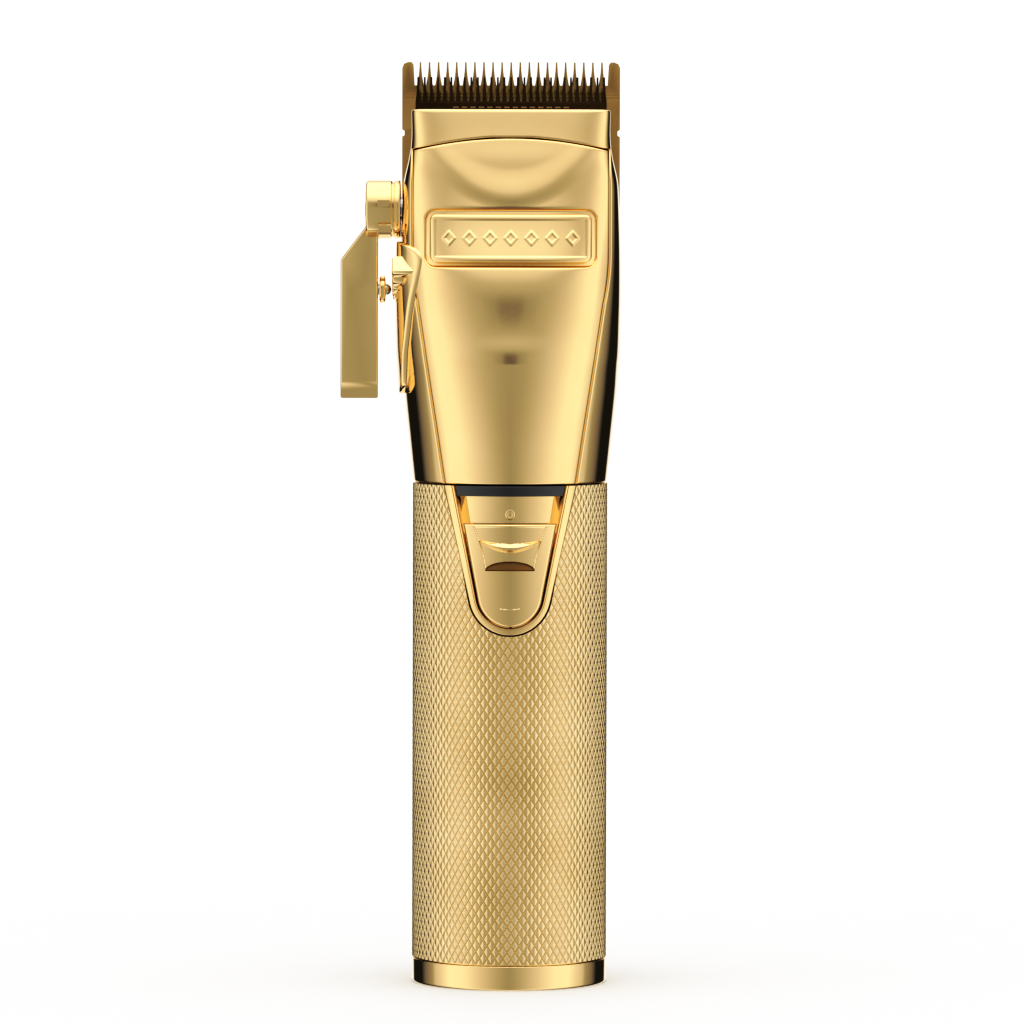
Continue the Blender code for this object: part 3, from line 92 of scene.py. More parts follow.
def node(tree, kind, inputs=None, **settings):
    """A shader node with its settings, and its inputs set or linked by name or number."""
    made = tree.nodes.new("ShaderNode" + kind)
    for name, value in settings.items():
        setattr(made, name, value)
    for key, value in (inputs or {}).items():
        if isinstance(value, bpy.types.NodeSocket):
            tree.links.new(value, made.inputs[key])
        else:
            made.inputs[key].default_value = value
    return made


def ramp(tree, factor, stops, interpolation="LINEAR"):
    """A colour ramp through (place, grey or colour) stops. It gives its colour socket."""
    made = node(tree, "ValToRGB", {"Fac": factor})
    made.color_ramp.interpolation = interpolation
    elements = made.color_ramp.elements
    while len(elements) > 1:
        elements.remove(elements[-1])
    for index, (place, value) in enumerate(stops):
        element = elements[0] if index == 0 else elements.new(place)
        element.position = place
        element.color = (*value, 1.0) if isinstance(value, tuple) else (value, value, value, 1.0)
    return made.outputs["Color"]


def noise(tree, place, scale, detail=3.0, stretch=(1.0, 1.0, 1.0)):
    """Noise in object space, stretched along the axes."""
    mapped = node(tree, "Mapping", {"Vector": place, "Scale": stretch})
    made = node(tree, "TexNoise", {"Vector": mapped.outputs["Vector"], "Scale": scale, "Detail": detail})
    return made.outputs["Fac"]


def finish(name, low, high, rough, metallic=1.0, grain=900.0, stretch=(1.0, 1.0, 1.0),
           bump=0.05, depth=0.02 * MM, cloud=60.0, coat=0.0, specular=0.5):
    """A surface whose colour drifts between two tones, with fine grain in gloss and height."""
    made = bpy.data.materials.new(name)
    made.use_nodes = True
    tree = made.node_tree
    shader = tree.nodes["Principled BSDF"]
    place = node(tree, "TexCoord").outputs["Object"]
    drift = noise(tree, place, cloud, 4.0)
    fine = noise(tree, place, grain, 5.0, stretch)
    tree.links.new(ramp(tree, drift, [(0.35, low), (0.65, high)]), shader.inputs["Base Color"])
    blend = node(tree, "Math", {0: drift, 1: fine}, operation="ADD").outputs[0]
    gloss = node(tree, "MapRange", {"Value": blend, "From Min": 0.7, "From Max": 1.3,
                                    "To Min": rough[0], "To Max": rough[1]})
    tree.links.new(gloss.outputs["Result"], shader.inputs["Roughness"])
    relief = node(tree, "Bump", {"Height": fine, "Strength": bump, "Distance": depth})
    tree.links.new(relief.outputs["Normal"], shader.inputs["Normal"])
    shader.inputs["Metallic"].default_value = metallic
    shader.inputs["Coat Weight"].default_value = coat
    shader.inputs["Specular IOR Level"].default_value = specular
    MATERIALS[name] = made


MATERIALS = {}
GOLD_LOW = (0.90, 0.665, 0.340)
GOLD_HIGH = (0.94, 0.705, 0.370)
finish("polished_gold", GOLD_LOW, GOLD_HIGH, (0.05, 0.10), bump=0.02)
finish("knurled_gold", (0.84, 0.65, 0.36), (0.92, 0.73, 0.43), (0.26, 0.36), bump=0.10, grain=1400.0)
finish("blade_gold", (0.42, 0.275, 0.095), (0.50, 0.34, 0.125), (0.24, 0.34), bump=0.15, grain=1200.0,
       stretch=(1.0, 1.0, 0.05))
finish("dark_blade", (0.030, 0.014, 0.006), (0.060, 0.030, 0.012), (0.26, 0.38), bump=0.15, grain=1200.0,
       stretch=(1.0, 1.0, 0.05))
# a darker gold for the slider's half-moon hollow: painted shade standing in for the dark reflection in the
# hollow
finish("recess_gold", (0.30, 0.165, 0.045), (0.36, 0.20, 0.060), (0.22, 0.32), bump=0.08)
finish("smoked_lens", (0.007, 0.006, 0.006), (0.012, 0.010, 0.010), (0.05, 0.12), metallic=0.0,
       bump=0.02, coat=0.6, specular=0.8)
finish("black_plastic", (0.020, 0.020, 0.021), (0.034, 0.034, 0.035), (0.42, 0.58), metallic=0.0,
       bump=0.30, grain=2500.0)
finish("grey_plastic", (0.26, 0.26, 0.27), (0.33, 0.33, 0.34), (0.45, 0.60), metallic=0.0, bump=0.30,
       grain=2500.0)
finish("steel", (0.56, 0.56, 0.57), (0.66, 0.66, 0.67), (0.20, 0.32), bump=0.15, grain=1500.0,
       stretch=(0.2, 0.2, 1.0))
finish("spring_steel", (0.44, 0.43, 0.41), (0.54, 0.53, 0.50), (0.25, 0.35), bump=0.12, grain=1500.0,
       stretch=(1.0, 1.0, 0.1))
finish("bronze", (0.48, 0.30, 0.14), (0.60, 0.40, 0.21), (0.34, 0.48), bump=0.30, grain=3000.0)
finish("magnet", (0.10, 0.10, 0.11), (0.15, 0.15, 0.16), (0.50, 0.65), metallic=0.6, bump=0.40,
       grain=2200.0)
finish("battery_wrap", (0.04, 0.19, 0.40), (0.06, 0.25, 0.50), (0.30, 0.42), metallic=0.0, bump=0.10,
       cloud=30.0, coat=0.3)
finish("circuit_board", (0.015, 0.13, 0.06), (0.025, 0.19, 0.10), (0.35, 0.50), metallic=0.0, bump=0.25,
       grain=1800.0)
finish("led", (0.78, 0.84, 0.95), (0.90, 0.94, 1.00), (0.12, 0.22), metallic=0.0, bump=0.05)


# ---------------------------------------------------------------- mesh helpers

def placed(name, data):
    """A new object in the scene."""
    made = bpy.data.objects.new(name, data)
    bpy.context.scene.collection.objects.link(made)
    return made


def piece(name, mesh, stands_for, slot="polished_gold", body="root", angle=40.0):
    """The mesh as a shown piece that rides on a body and stands for a CAD node."""
    mesh.name = name
    mesh.materials.clear()
    mesh.materials.append(MATERIALS[slot])
    mesh.shade_smooth()
    mesh.set_sharp_from_angle(angle=radians(angle))
    made = placed(name, mesh)
    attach(made, body)
    if stands_for:
        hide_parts(stands_for)
    return made


def mesh_from(points, faces):
    made = bpy.data.meshes.new("mesh")
    made.from_pydata([tuple(point) for point in points], [], faces)
    shape = bmesh.new()
    shape.from_mesh(made)
    bmesh.ops.remove_doubles(shape, verts=shape.verts, dist=0.0005 * MM)
    bmesh.ops.recalc_face_normals(shape, faces=shape.faces)
    shape.to_mesh(made)
    shape.free()
    return made


def grid_faces(rows, columns, start=0, wrap=False):
    """Quads between the points of a grid, which may close on itself along its columns."""
    faces = []
    for row in range(rows - 1):
        for column in range(columns if wrap else columns - 1):
            after = (column + 1) % columns
            faces.append((start + row * columns + column, start + row * columns + after,
                          start + (row + 1) * columns + after, start + (row + 1) * columns + column))
    return faces


def shell(outer, inner):
    """A closed skin from two grids of the same shape, joined all round their edge."""
    rows, columns = outer.shape[:2]
    count = rows * columns
    points = np.concatenate([outer.reshape(-1, 3), inner.reshape(-1, 3)])
    faces = grid_faces(rows, columns) + grid_faces(rows, columns, count)
    edge = [column for column in range(columns)]
    edge += [row * columns + columns - 1 for row in range(1, rows)]
    edge += [(rows - 1) * columns + column for column in range(columns - 2, -1, -1)]
    edge += [row * columns for row in range(rows - 2, 0, -1)]
    for here, after in zip(edge, edge[1:] + edge[:1]):
        faces.append((here, after, count + after, count + here))
    return mesh_from(points, faces)


def sweep(profiles, closed=False):
    """A closed profile carried along a path: profiles is a grid of steps by profile points."""
    steps, size = profiles.shape[:2]
    faces = grid_faces(steps, size, 0, True)
    if closed:
        faces += [((steps - 1) * size + index, (steps - 1) * size + (index + 1) % size,
                   (index + 1) % size, index) for index in range(size)]
    else:
        faces += [tuple(range(size)), tuple((steps - 1) * size + index for index in range(size))]
    return mesh_from(profiles.reshape(-1, 3), faces)


def turned(profile, segments=96, centre=(0.0, 0.0, 0.0), axis="Z", phase=0.0):
    """A closed profile of (radius, height) points turned about an axis."""
    shape = bmesh.new()
    rings = []
    for radius, height in profile:
        if radius == 0.0:
            rings.append([shape.verts.new((0.0, 0.0, height))])
            continue
        angles = [2 * pi * (step + phase) / segments for step in range(segments)]
        rings.append([shape.verts.new((radius * cos(a), radius * sin(a), height)) for a in angles])
    for first, second in zip(rings, rings[1:] + rings[:1]):
        if len(first) == 1 and len(second) == 1:
            continue
        for step in range(segments):
            after = (step + 1) % segments
            corners = [first[step % len(first)], first[after % len(first)],
                       second[after % len(second)], second[step % len(second)]]
            shape.faces.new(list(dict.fromkeys(corners)))
    turn = {"Z": Matrix.Identity(4), "X": Matrix.Rotation(pi / 2, 4, "Y"),
            "Y": Matrix.Rotation(-pi / 2, 4, "X")}[axis]
    shape.transform(Matrix.Translation(centre) @ turn)
    bmesh.ops.recalc_face_normals(shape, faces=shape.faces)
    return to_mesh(shape)


def quarter(across, along, radius, start, end, steps):
    """Points of a turned profile on an arc round a centre, between two angles in degrees."""
    angles = [radians(start + (end - start) * step / steps) for step in range(steps + 1)]
    return [(across + radius * cos(angle), along + radius * sin(angle)) for angle in angles]


def rod(radius, low, high, centre, axis="Z"):
    """A plain round rod along an axis, for bores and pockets."""
    return turned([(0, low), (radius, low), (radius, high), (0, high)], 64, centre, axis)


def to_mesh(shape):
    made = bpy.data.meshes.new("mesh")
    shape.to_mesh(made)
    shape.free()
    return made


def prism(outline, low, high, axis="Y"):
    """A flat outline carried along an axis. It is in XZ for Y, in YZ for X and in XY for Z."""
    place = {
        "Y": lambda a, b, along: (a, along, b),
        "X": lambda a, b, along: (along, a, b),
        "Z": lambda a, b, along: (a, b, along),
    }[axis]
    count = len(outline)
    points = [place(a, b, along) for along in (low, high) for a, b in outline]
    sides = [(step, (step + 1) % count, count + (step + 1) % count, count + step)
             for step in range(count)]
    return mesh_from(points, sides + [tuple(range(count)), tuple(range(count, 2 * count))])


def box(low, high):
    (x0, y0, z0), (x1, y1, z1) = low, high
    return prism([(x0, z0), (x1, z0), (x1, z1), (x0, z1)], y0, y1)


def changed(mesh, kind, tool=None, **settings):
    """The mesh with a modifier applied. A tool mesh is used up."""
    body = placed("body", mesh)
    modifier = body.modifiers.new(kind, kind)
    helper = None
    if tool:
        helper = placed("tool", tool)
        modifier.object = helper
    for name, value in settings.items():
        setattr(modifier, name, value)
    made = bpy.data.meshes.new_from_object(body.evaluated_get(bpy.context.evaluated_depsgraph_get()))
    for item in (body, helper):
        if item:
            used = item.data
            bpy.data.objects.remove(item)
            bpy.data.meshes.remove(used)
    return made


def cut(mesh, *tools):
    for tool in tools:
        mesh = changed(mesh, "BOOLEAN", tool, operation="DIFFERENCE")
    return mesh


def join(mesh, *tools):
    for tool in tools:
        mesh = changed(mesh, "BOOLEAN", tool, operation="UNION")
    return mesh


def keep(mesh, *tools):
    for tool in tools:
        mesh = changed(mesh, "BOOLEAN", tool, operation="INTERSECT")
    return mesh


def soften(mesh, width, segments=3, angle=40.0):
    return changed(mesh, "BEVEL", width=width, segments=segments, limit_method="ANGLE",
                   angle_limit=radians(angle), harden_normals=False)


def together(*meshes):
    """Several closed skins in one mesh."""
    shape = bmesh.new()
    for mesh in meshes:
        shape.from_mesh(mesh)
        bpy.data.meshes.remove(mesh)
    return to_mesh(shape)


# ---------------------------------------------------------------- the head's surfaces

HEAD_STATIONS = np.array((
    # share of the head's length, growth over the grip's radius in millimetres of half width,
    # front depth and rear depth, and how square the section is
    (0.000, -0.1, 0.0, 0.0, 2.00),
    (0.120, 0.9, 0.9, 0.3, 2.10),
    (0.240, 1.9, 1.9, 0.2, 2.30),
    (0.315, 2.3, 2.4, -0.2, 2.45),
    (0.350, 2.5, 2.0, -0.7, 2.50),
    (0.400, 2.6, 0.9, -1.7, 2.60),
    (0.500, 2.7, -1.3, -4.0, 3.00),
    (0.615, 2.6, -4.0, -7.1, 3.50),
    (0.760, 2.2, -7.2, -8.0, 4.20),
    (0.810, 1.9, -8.3, -8.0, 4.60),
    (0.870, 0.9, -9.6, -8.0, 5.20),
    (0.920, 0.4, -10.8, -8.0, 6.00),
    (1.000, 0.4, -12.6, -8.0, 7.00),
))


def station(height):
    """Half width, front depth, rear depth and squareness of the head at heights."""
    share = np.clip((np.asarray(height, float) - SEAM_Z) / HEAD_LENGTH, 0.0, 1.0)
    index = np.clip(np.searchsorted(HEAD_STATIONS[:, 0], share, "right") - 1, 0, len(HEAD_STATIONS) - 2)
    low, high = HEAD_STATIONS[index], HEAD_STATIONS[index + 1]
    span = (high[..., 0] - low[..., 0])[..., None]
    part = ((share - low[..., 0])[..., None]) / span
    before = HEAD_STATIONS[np.maximum(index - 1, 0)]
    after = HEAD_STATIONS[np.minimum(index + 2, len(HEAD_STATIONS) - 1)]
    slope_low = (high - before)[..., 1:] / (high - before)[..., :1] * span
    slope_high = (after - low)[..., 1:] / (after - low)[..., :1] * span
    value = ((2 * part**3 - 3 * part**2 + 1) * low[..., 1:] + (part**3 - 2 * part**2 + part) * slope_low
             + (3 * part**2 - 2 * part**3) * high[..., 1:] + (part**3 - part**2) * slope_high)
    return (GRIP_RADIUS + value[..., 0] * MM, GRIP_RADIUS + value[..., 1] * MM,
            GRIP_RADIUS + value[..., 2] * MM, value[..., 3])


def section(height, angle, inset=0.0):
    """The head's skin at a height. The angle runs from the +X side by the back, the -X side and the front."""
    width, front, rear, square = station(height)
    depth = np.where(np.sin(angle) > 0, rear, front)
    across = np.cos(angle)
    along = np.sin(angle)
    x = (width - inset) * np.sign(across) * np.abs(across) ** (2 / square)
    y = (depth - inset) * np.sign(along) * np.abs(along) ** (2 / square)
    return x, y


def head_front(height, across):
    """How far the head's front stands forward of the axis."""
    width, front, _, square = station(height)
    share = np.minimum(np.abs(across) / width, 1.0)
    return front * (1 - share ** square) ** (1 / square)


ARC_SAG = 2.5 * MM
ARC_HEIGHT = NOSE_TOP - 5.8 * MM
ARC_RADIUS = (GRIP_RADIUS**2 + ARC_SAG**2) / (2 * ARC_SAG)


def arc_height(across):
    """Height of the seam between the front cover and the nose."""
    return ARC_HEIGHT - ARC_RADIUS + np.sqrt(ARC_RADIUS**2 - np.asarray(across, float)**2)


COVER_FOOT_HALF = GRIP_RADIUS - 6.6 * MM
COVER_BEND_HALF = GRIP_RADIUS - 1.0 * MM
COVER_TOP_HALF = GRIP_RADIUS + 0.2 * MM
COVER_BEND_RISE = 36.6 * MM
COVER_TOP_RISE = 47.0 * MM


def cover_half_width(height):
    """Half width of the front cover at heights."""
    rise = np.asarray(height, float) - SEAM_Z
    straight = COVER_FOOT_HALF + (COVER_BEND_HALF - COVER_FOOT_HALF) * rise / COVER_BEND_RISE
    part = np.clip((rise - COVER_BEND_RISE) / (COVER_TOP_RISE - COVER_BEND_RISE), 0, 1)
    curved = COVER_BEND_HALF + (COVER_TOP_HALF - COVER_BEND_HALF) * (2 * part - part**2)
    return np.where(rise < COVER_BEND_RISE, straight, curved)


def side_lean(half_width, rise, tip_radius):
    """Angle of the right side's normal on a V whose top corner is at a rise over its tip's centre."""
    return atan2(rise, half_width) - acos(tip_radius / hypot(half_width, rise))


def shield(half_width, top, tip, tip_radius, steps=24):
    """A V with a round tip, from its right top corner to its left one."""
    centre = tip + tip_radius
    start = side_lean(half_width, top - centre, tip_radius)
    outline = [(half_width, top)]
    for step in range(steps + 1):
        angle = start + (-pi - 2 * start) * step / steps
        outline.append((tip_radius * cos(angle), centre + tip_radius * sin(angle)))
    return outline + [(-half_width, top)]


def notch(grow, top=SEAM_Z):
    """The V notch in the top of the grip, grown outwards."""
    return shield(13.74 * MM + grow, top, SEAM_Z - 30.6 * MM - grow, 8.5 * MM + grow)


def clustered(low, high, count, edge, rows=5):
    """Places from low to high, with extra ones packed close to both ends for rounded edges."""
    near = edge * (1 - np.cos(np.linspace(0, pi / 2, rows)))
    middle = np.linspace(low + edge, high - edge, count)
    return np.concatenate([low + near[:-1], middle, high - near[-2::-1]])


def roll(distance, radius):
    """How far a surface drops at a distance from its rounded edge."""
    inside = np.clip(radius - np.asarray(distance, float), 0, radius)
    return radius - np.sqrt(radius**2 - inside**2)


# ---------------------------------------------------------------- the room

ROOM_LIGHT = 1.65
BACKDROP = 1.02 / ROOM_LIGHT
TONE = ((0.08, 0.035), (0.16, 0.085), (0.27, 0.215), (0.42, 0.39), (0.60, 0.62), (0.80, 0.87), (0.93, 0.98))
EYE = Vector((0.0, -1.36, 0.15485))
TARGET = Vector((0.0004, 0.0, 0.0967))
FOCAL_LENGTH = 232.6
CAMERA_ROLL = 0.15


def by_elevation(tree, height, *stops):
    """A ramp over the sky's elevation in degrees. Height is the direction's Z from 0 to 1."""
    return ramp(tree, height, [((sin(radians(angle)) + 1) / 2, value) for angle, value in stops])


def world():
    """A white product tent: dark flags beside the object, a softly graded wall behind the camera."""
    made = bpy.data.worlds.new("tent")
    bpy.context.scene.world = made
    made.use_nodes = True
    tree = made.node_tree
    background = tree.nodes["Background"]
    direction = node(tree, "TexCoord").outputs["Generated"]
    parts = node(tree, "SeparateXYZ", {"Vector": direction}).outputs
    back = node(tree, "Math", {0: parts["Y"], 1: -1.0}, operation="MULTIPLY").outputs[0]
    side = node(tree, "Math", {0: parts["X"]}, operation="ABSOLUTE").outputs[0]
    azimuth = node(tree, "Math", {0: side, 1: back}, operation="ARCTAN2").outputs[0]
    turn = node(tree, "Math", {0: azimuth, 1: pi}, operation="DIVIDE").outputs[0]
    wall = ramp(tree, turn, [(angle / 180, grey / ROOM_LIGHT) for angle, grey in (
        (0, 0.42), (6, 0.46), (14, 0.54), (24, 0.66), (35, 0.80), (45, 0.95), (56, 1.10),
        (75, 1.15), (86, 0.90), (98, 0.70), (103, 0.42), (118, 0.24), (126, 0.02), (154, 0.02),
        (160, 1.00), (180, 1.00))])
    slit = ramp(tree, turn, [(0.0, 0.50), (1.0 / 180, 0.50), (2.4 / 180, 0.85), (8 / 180, 1.0)])
    height = node(tree, "MapRange", {"Value": parts["Z"], "From Min": -1.0, "From Max": 1.0}).outputs[0]
    shade = by_elevation(tree, height, (4, 0.0), (10, 1.0), (22, 1.0), (28, 0.0))
    darker = node(tree, "MixRGB", {"Fac": shade, "Color1": (1.0, 1.0, 1.0, 1.0), "Color2": slit},
                  blend_type="MIX").outputs[0]
    graded = node(tree, "MixRGB", {"Fac": 1.0, "Color1": wall, "Color2": darker},
                  blend_type="MULTIPLY").outputs[0]
    roof = by_elevation(tree, height, (24, 0.0), (34, 1.0))
    overhead = by_elevation(tree, height, (30, 0.66 / ROOM_LIGHT), (60, 1.60 / ROOM_LIGHT))
    bright = node(tree, "MixRGB", {"Fac": roof, "Color1": graded, "Color2": overhead},
                  blend_type="MIX").outputs[0]
    path = node(tree, "LightPath").outputs["Is Camera Ray"]
    seen = node(tree, "MixRGB", {"Fac": path, "Color1": bright,
                                 "Color2": (BACKDROP, BACKDROP, BACKDROP, 1.0)})
    tree.links.new(seen.outputs[0], background.inputs["Color"])
    background.inputs["Strength"].default_value = ROOM_LIGHT


def floor():
    """The pale table top the clipper stands on."""
    shape = bmesh.new()
    corners = [(-0.9, -0.22, 0.0), (0.9, -0.22, 0.0), (0.9, 0.9, 0.0), (-0.9, 0.9, 0.0)]
    shape.faces.new([shape.verts.new(corner) for corner in corners])
    made = placed("table_top", to_mesh(shape))
    look = bpy.data.materials.new("table_top")
    look.use_nodes = True
    tree = look.node_tree
    shader = tree.nodes["Principled BSDF"]
    place = node(tree, "TexCoord").outputs["Object"]
    tree.links.new(ramp(tree, noise(tree, place, 12.0), [(0.3, 0.865), (0.7, 0.885)]),
                   shader.inputs["Base Color"])
    shader.inputs["Roughness"].default_value = 0.9
    made.data.materials.append(look)
    made.visible_glossy = False


def tone():
    """A print-like tone curve: deeper shadows, and highlights that turn pale."""
    settings = bpy.context.scene.view_settings
    settings.view_transform = "Standard"
    settings.use_curve_mapping = True
    curve = settings.curve_mapping.curves[3]
    for place, value in TONE:
        curve.points.new(place, value)
    settings.curve_mapping.update()


def camera():
    """Straight in front, a little below the blades' height, with a long lens."""
    made = bpy.data.cameras.new("camera")
    made.lens = FOCAL_LENGTH
    made.sensor_width = 36.0
    made.clip_start = 0.05
    made.clip_end = 20.0
    camera_object = placed("camera", made)
    tilt = (TARGET - EYE).to_track_quat("-Z", "Y").to_matrix()
    turn = tilt @ Matrix.Rotation(radians(CAMERA_ROLL), 3, "Z")
    camera_object.matrix_world = Matrix.Translation(EYE) @ turn.to_4x4()
    bpy.context.scene.camera = camera_object


# ---------------------------------------------------------------- head

BADGE_ROOM_X = BADGE_HIGH.x + 0.9 * MM
BADGE_ROOM_Z = (BADGE_HIGH.z - BADGE_LOW.z) / 2 + 0.9 * MM
EDGE = 0.35 * MM
SMILE_FOOT = BADGE_Z + 7.3 * MM
WAIST_TOP = BADGE_Z - 7.5 * MM
SHELL_WALL = 1.6 * MM
SIDE_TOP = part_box("rear_housing")[1].z
BLADE_SEAT_TOP = BLADE_LOW.z + 14.7 * MM
SEAT_FOOT = BLADE_LOW.z - 0.3 * MM
SCREW_X = 12.5 * MM
SCREW_Z = sum(corner.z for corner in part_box("housing_screw_left")) / 2
SCREW_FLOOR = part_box("housing_screw_left")[1].y - 0.3 * MM
SCREW_POCKET = 3.2 * MM
LOZENGE_PITCH = 4.2 * MM
LOZENGE_HALF_X, LOZENGE_HALF_Z = 1.5 * MM, 1.7 * MM
POCKET_DEPTH = 0.8 * MM


def rounded_distance(x, z, half_x, half_z, corner):
    """Distance outside (positive) or inside (negative) of a rounded rectangle."""
    from_x = np.abs(x) - (half_x - corner)
    from_z = np.abs(z) - (half_z - corner)
    outside = np.hypot(np.maximum(from_x, 0), np.maximum(from_z, 0))
    return outside + np.minimum(np.maximum(from_x, from_z), 0) - corner


def refined(places, centre, reach, step):
    """Places with extra ones every step within reach of a centre."""
    extra = np.arange(centre - reach, centre + reach + step / 2, step)
    kept = places[(places < centre - reach - step / 2) | (places > centre + reach + step / 2)]
    return np.sort(np.concatenate([kept, extra]))


def swell(x, z):
    """The soft step above the badge, curved like a smile, and the gentle bulge that the badge sits on."""
    smile = SMILE_FOOT + 8.3 * MM * (x / (16 * MM))**2
    part = np.clip((z - smile) / (3.4 * MM) + 0.5, 0, 1)
    step = 0.18 * MM * (3 * part**2 - 2 * part**3) * np.clip(1 - (np.abs(x) / (17.5 * MM))**4, 0, 1)
    back = np.clip((z - smile - 2 * MM) / (5 * MM), 0, 1)
    bulge = 0.7 * MM * np.exp(-((z - WAIST_TOP) / (8.5 * MM))**2) * np.clip(1 - (x / (20 * MM))**4, 0, 1)
    return step * (1 - back**2 * (3 - 2 * back)) + bulge


def front_cover():
    """The polished front of the head, with a pocket for the badge and rounded seams."""
    foot = SEAM_Z + GAP / 2
    shares = clustered(-1.0, 1.0, 70, EDGE / COVER_BEND_HALF * 1.2, 7)
    for edge in (-1, 1):
        shares = refined(shares, edge * BADGE_ROOM_X / COVER_TOP_HALF, 1.2 * MM / COVER_TOP_HALF,
                         0.15 * MM / COVER_TOP_HALF)
    levels = clustered(0.0, 1.0, 150, EDGE / (ARC_HEIGHT - foot) * 1.2, 7)
    scale = ARC_HEIGHT - foot
    for edge in (-1, 1):
        levels = refined(levels, (BADGE_Z + edge * BADGE_ROOM_Z - foot) / scale, 1.0 * MM / scale,
                         0.15 * MM / scale)
    share, level = np.meshgrid(shares, levels)
    top = arc_height(share * COVER_TOP_HALF) - GAP / 2
    z = foot + level * scale + (top - ARC_HEIGHT) * np.clip((level - 0.86) / 0.14, 0, 1)
    half = cover_half_width(z) - GAP / 2
    x = share * half
    pocket = rounded_distance(x, z - BADGE_Z, BADGE_ROOM_X, BADGE_ROOM_Z, 2.2 * MM)
    sunk = POCKET_DEPTH * np.clip(0.5 - pocket / (0.3 * MM), 0, 1)
    lip = 0.25 * MM * np.exp(-(np.maximum(pocket, 0) / (0.35 * MM))**2) * (pocket > 0)
    near = np.minimum.reduce([half - np.abs(x), top - z, z - foot])
    depth = head_front(z, x) + swell(x, z) - sunk - roll(near, EDGE) - lip * 0.3
    outer = np.stack([x, -depth, z], axis=2)
    back = head_front(z, x) - SHELL_WALL
    inner = np.stack([x, -back, z], axis=2)
    piece("front_cover_skin", shell(outer, inner), "front_cover", angle=50)


def badge():
    """The raised badge: a rounded plate with a shallow inner border and plain lozenges."""
    half_x, half_z, corner = BADGE_HIGH.x, (BADGE_HIGH.z - BADGE_LOW.z) / 2, 1.3 * MM
    columns = clustered(-half_x, half_x, 200, 0.5 * MM, 9)
    rows = clustered(-half_z, half_z, 70, 0.5 * MM, 9)
    x, z = np.meshgrid(columns, rows)
    # pull the corners of the grid onto the rounded rectangle
    inside_x, inside_z = half_x - corner, half_z - corner
    over_x, over_z = np.maximum(np.abs(x) - inside_x, 0), np.maximum(np.abs(z) - inside_z, 0)
    square = np.maximum(over_x, over_z)
    length = np.hypot(over_x, over_z)
    pull = np.where(length > 0, square / np.maximum(length, 1e-9), 1.0)
    x = np.where(over_x > 0, np.sign(x) * (inside_x + over_x * pull), x)
    z = np.where(over_z > 0, np.sign(z) * (inside_z + over_z * pull), z)
    edge = -rounded_distance(x, z, half_x, half_z, corner)
    step = 0.12 * MM * np.clip(0.5 + (edge - 1.15 * MM) / (0.16 * MM), 0, 1)
    marks = np.zeros_like(x)
    for index in range(-3, 4):
        lozenge = np.abs(x - index * LOZENGE_PITCH) / LOZENGE_HALF_X + np.abs(z) / LOZENGE_HALF_Z
        hollow = np.clip((1.0 - lozenge) / 0.14, 0, 1) - np.clip((0.62 - lozenge) / 0.14, 0, 1)
        marks = np.maximum(marks, hollow)
    skin = head_front(z + BADGE_Z, x) + swell(x, z + BADGE_Z)
    height = skin + 0.5 * MM - roll(edge, 0.6 * MM) - step + 0.10 * MM * marks
    outer = np.stack([x, -height, z + BADGE_Z], axis=2)
    inner = np.stack([x, -(skin - 0.75 * MM), z + BADGE_Z], axis=2)
    piece("badge_relief", shell(outer, inner), "badge_plate", angle=50)


def closed_top(rim, steps, height):
    """Rings that close a rim towards the middle of its back edge."""
    rings = []
    for scale in np.linspace(1.0, 0.0, steps + 1)[1:]:
        rings.append(np.stack([rim[:, 0] * scale, NOSE_BACK + (rim[:, 1] - NOSE_BACK) * scale,
                               np.full(len(rim), height)], axis=1))
    return np.array(rings)


def nose():
    """The nose round the blades, from the arc seam up, with a rounded rim and a closed roof."""
    around = 260
    start = radians(22)
    angle = np.linspace(pi - start, 2 * pi + start, around)
    skin, lining = [], []
    for share in clustered(0.0, 1.0, 24, 0.07, 7):
        x, _ = section(np.full(around, NOSE_TOP), angle)
        seam = arc_height(np.clip(x, -COVER_TOP_HALF, COVER_TOP_HALF)) + GAP / 2
        z = seam + (NOSE_TOP - seam) * share
        x, y = section(z, angle)
        width, front, _, _ = station(z)
        dip = roll(z - seam, EDGE) + roll(NOSE_TOP - z, 0.5 * MM)
        skin.append(np.stack([x * (1 - dip / width), np.minimum(y * (1 - dip / front), NOSE_BACK), z], 1))
        lining.append(np.stack([x * (1 - SHELL_WALL / width),
                                np.minimum(y * (1 - SHELL_WALL / front), NOSE_BACK),
                                np.minimum(z, NOSE_TOP - SHELL_WALL)], 1))
    outer = np.concatenate([np.array(skin), closed_top(skin[-1], 12, NOSE_TOP)])
    inner = np.concatenate([np.array(lining), closed_top(lining[-1], 12, NOSE_TOP - SHELL_WALL)])
    piece("nose_skin", shell(outer, inner), "blade_cover", angle=50)


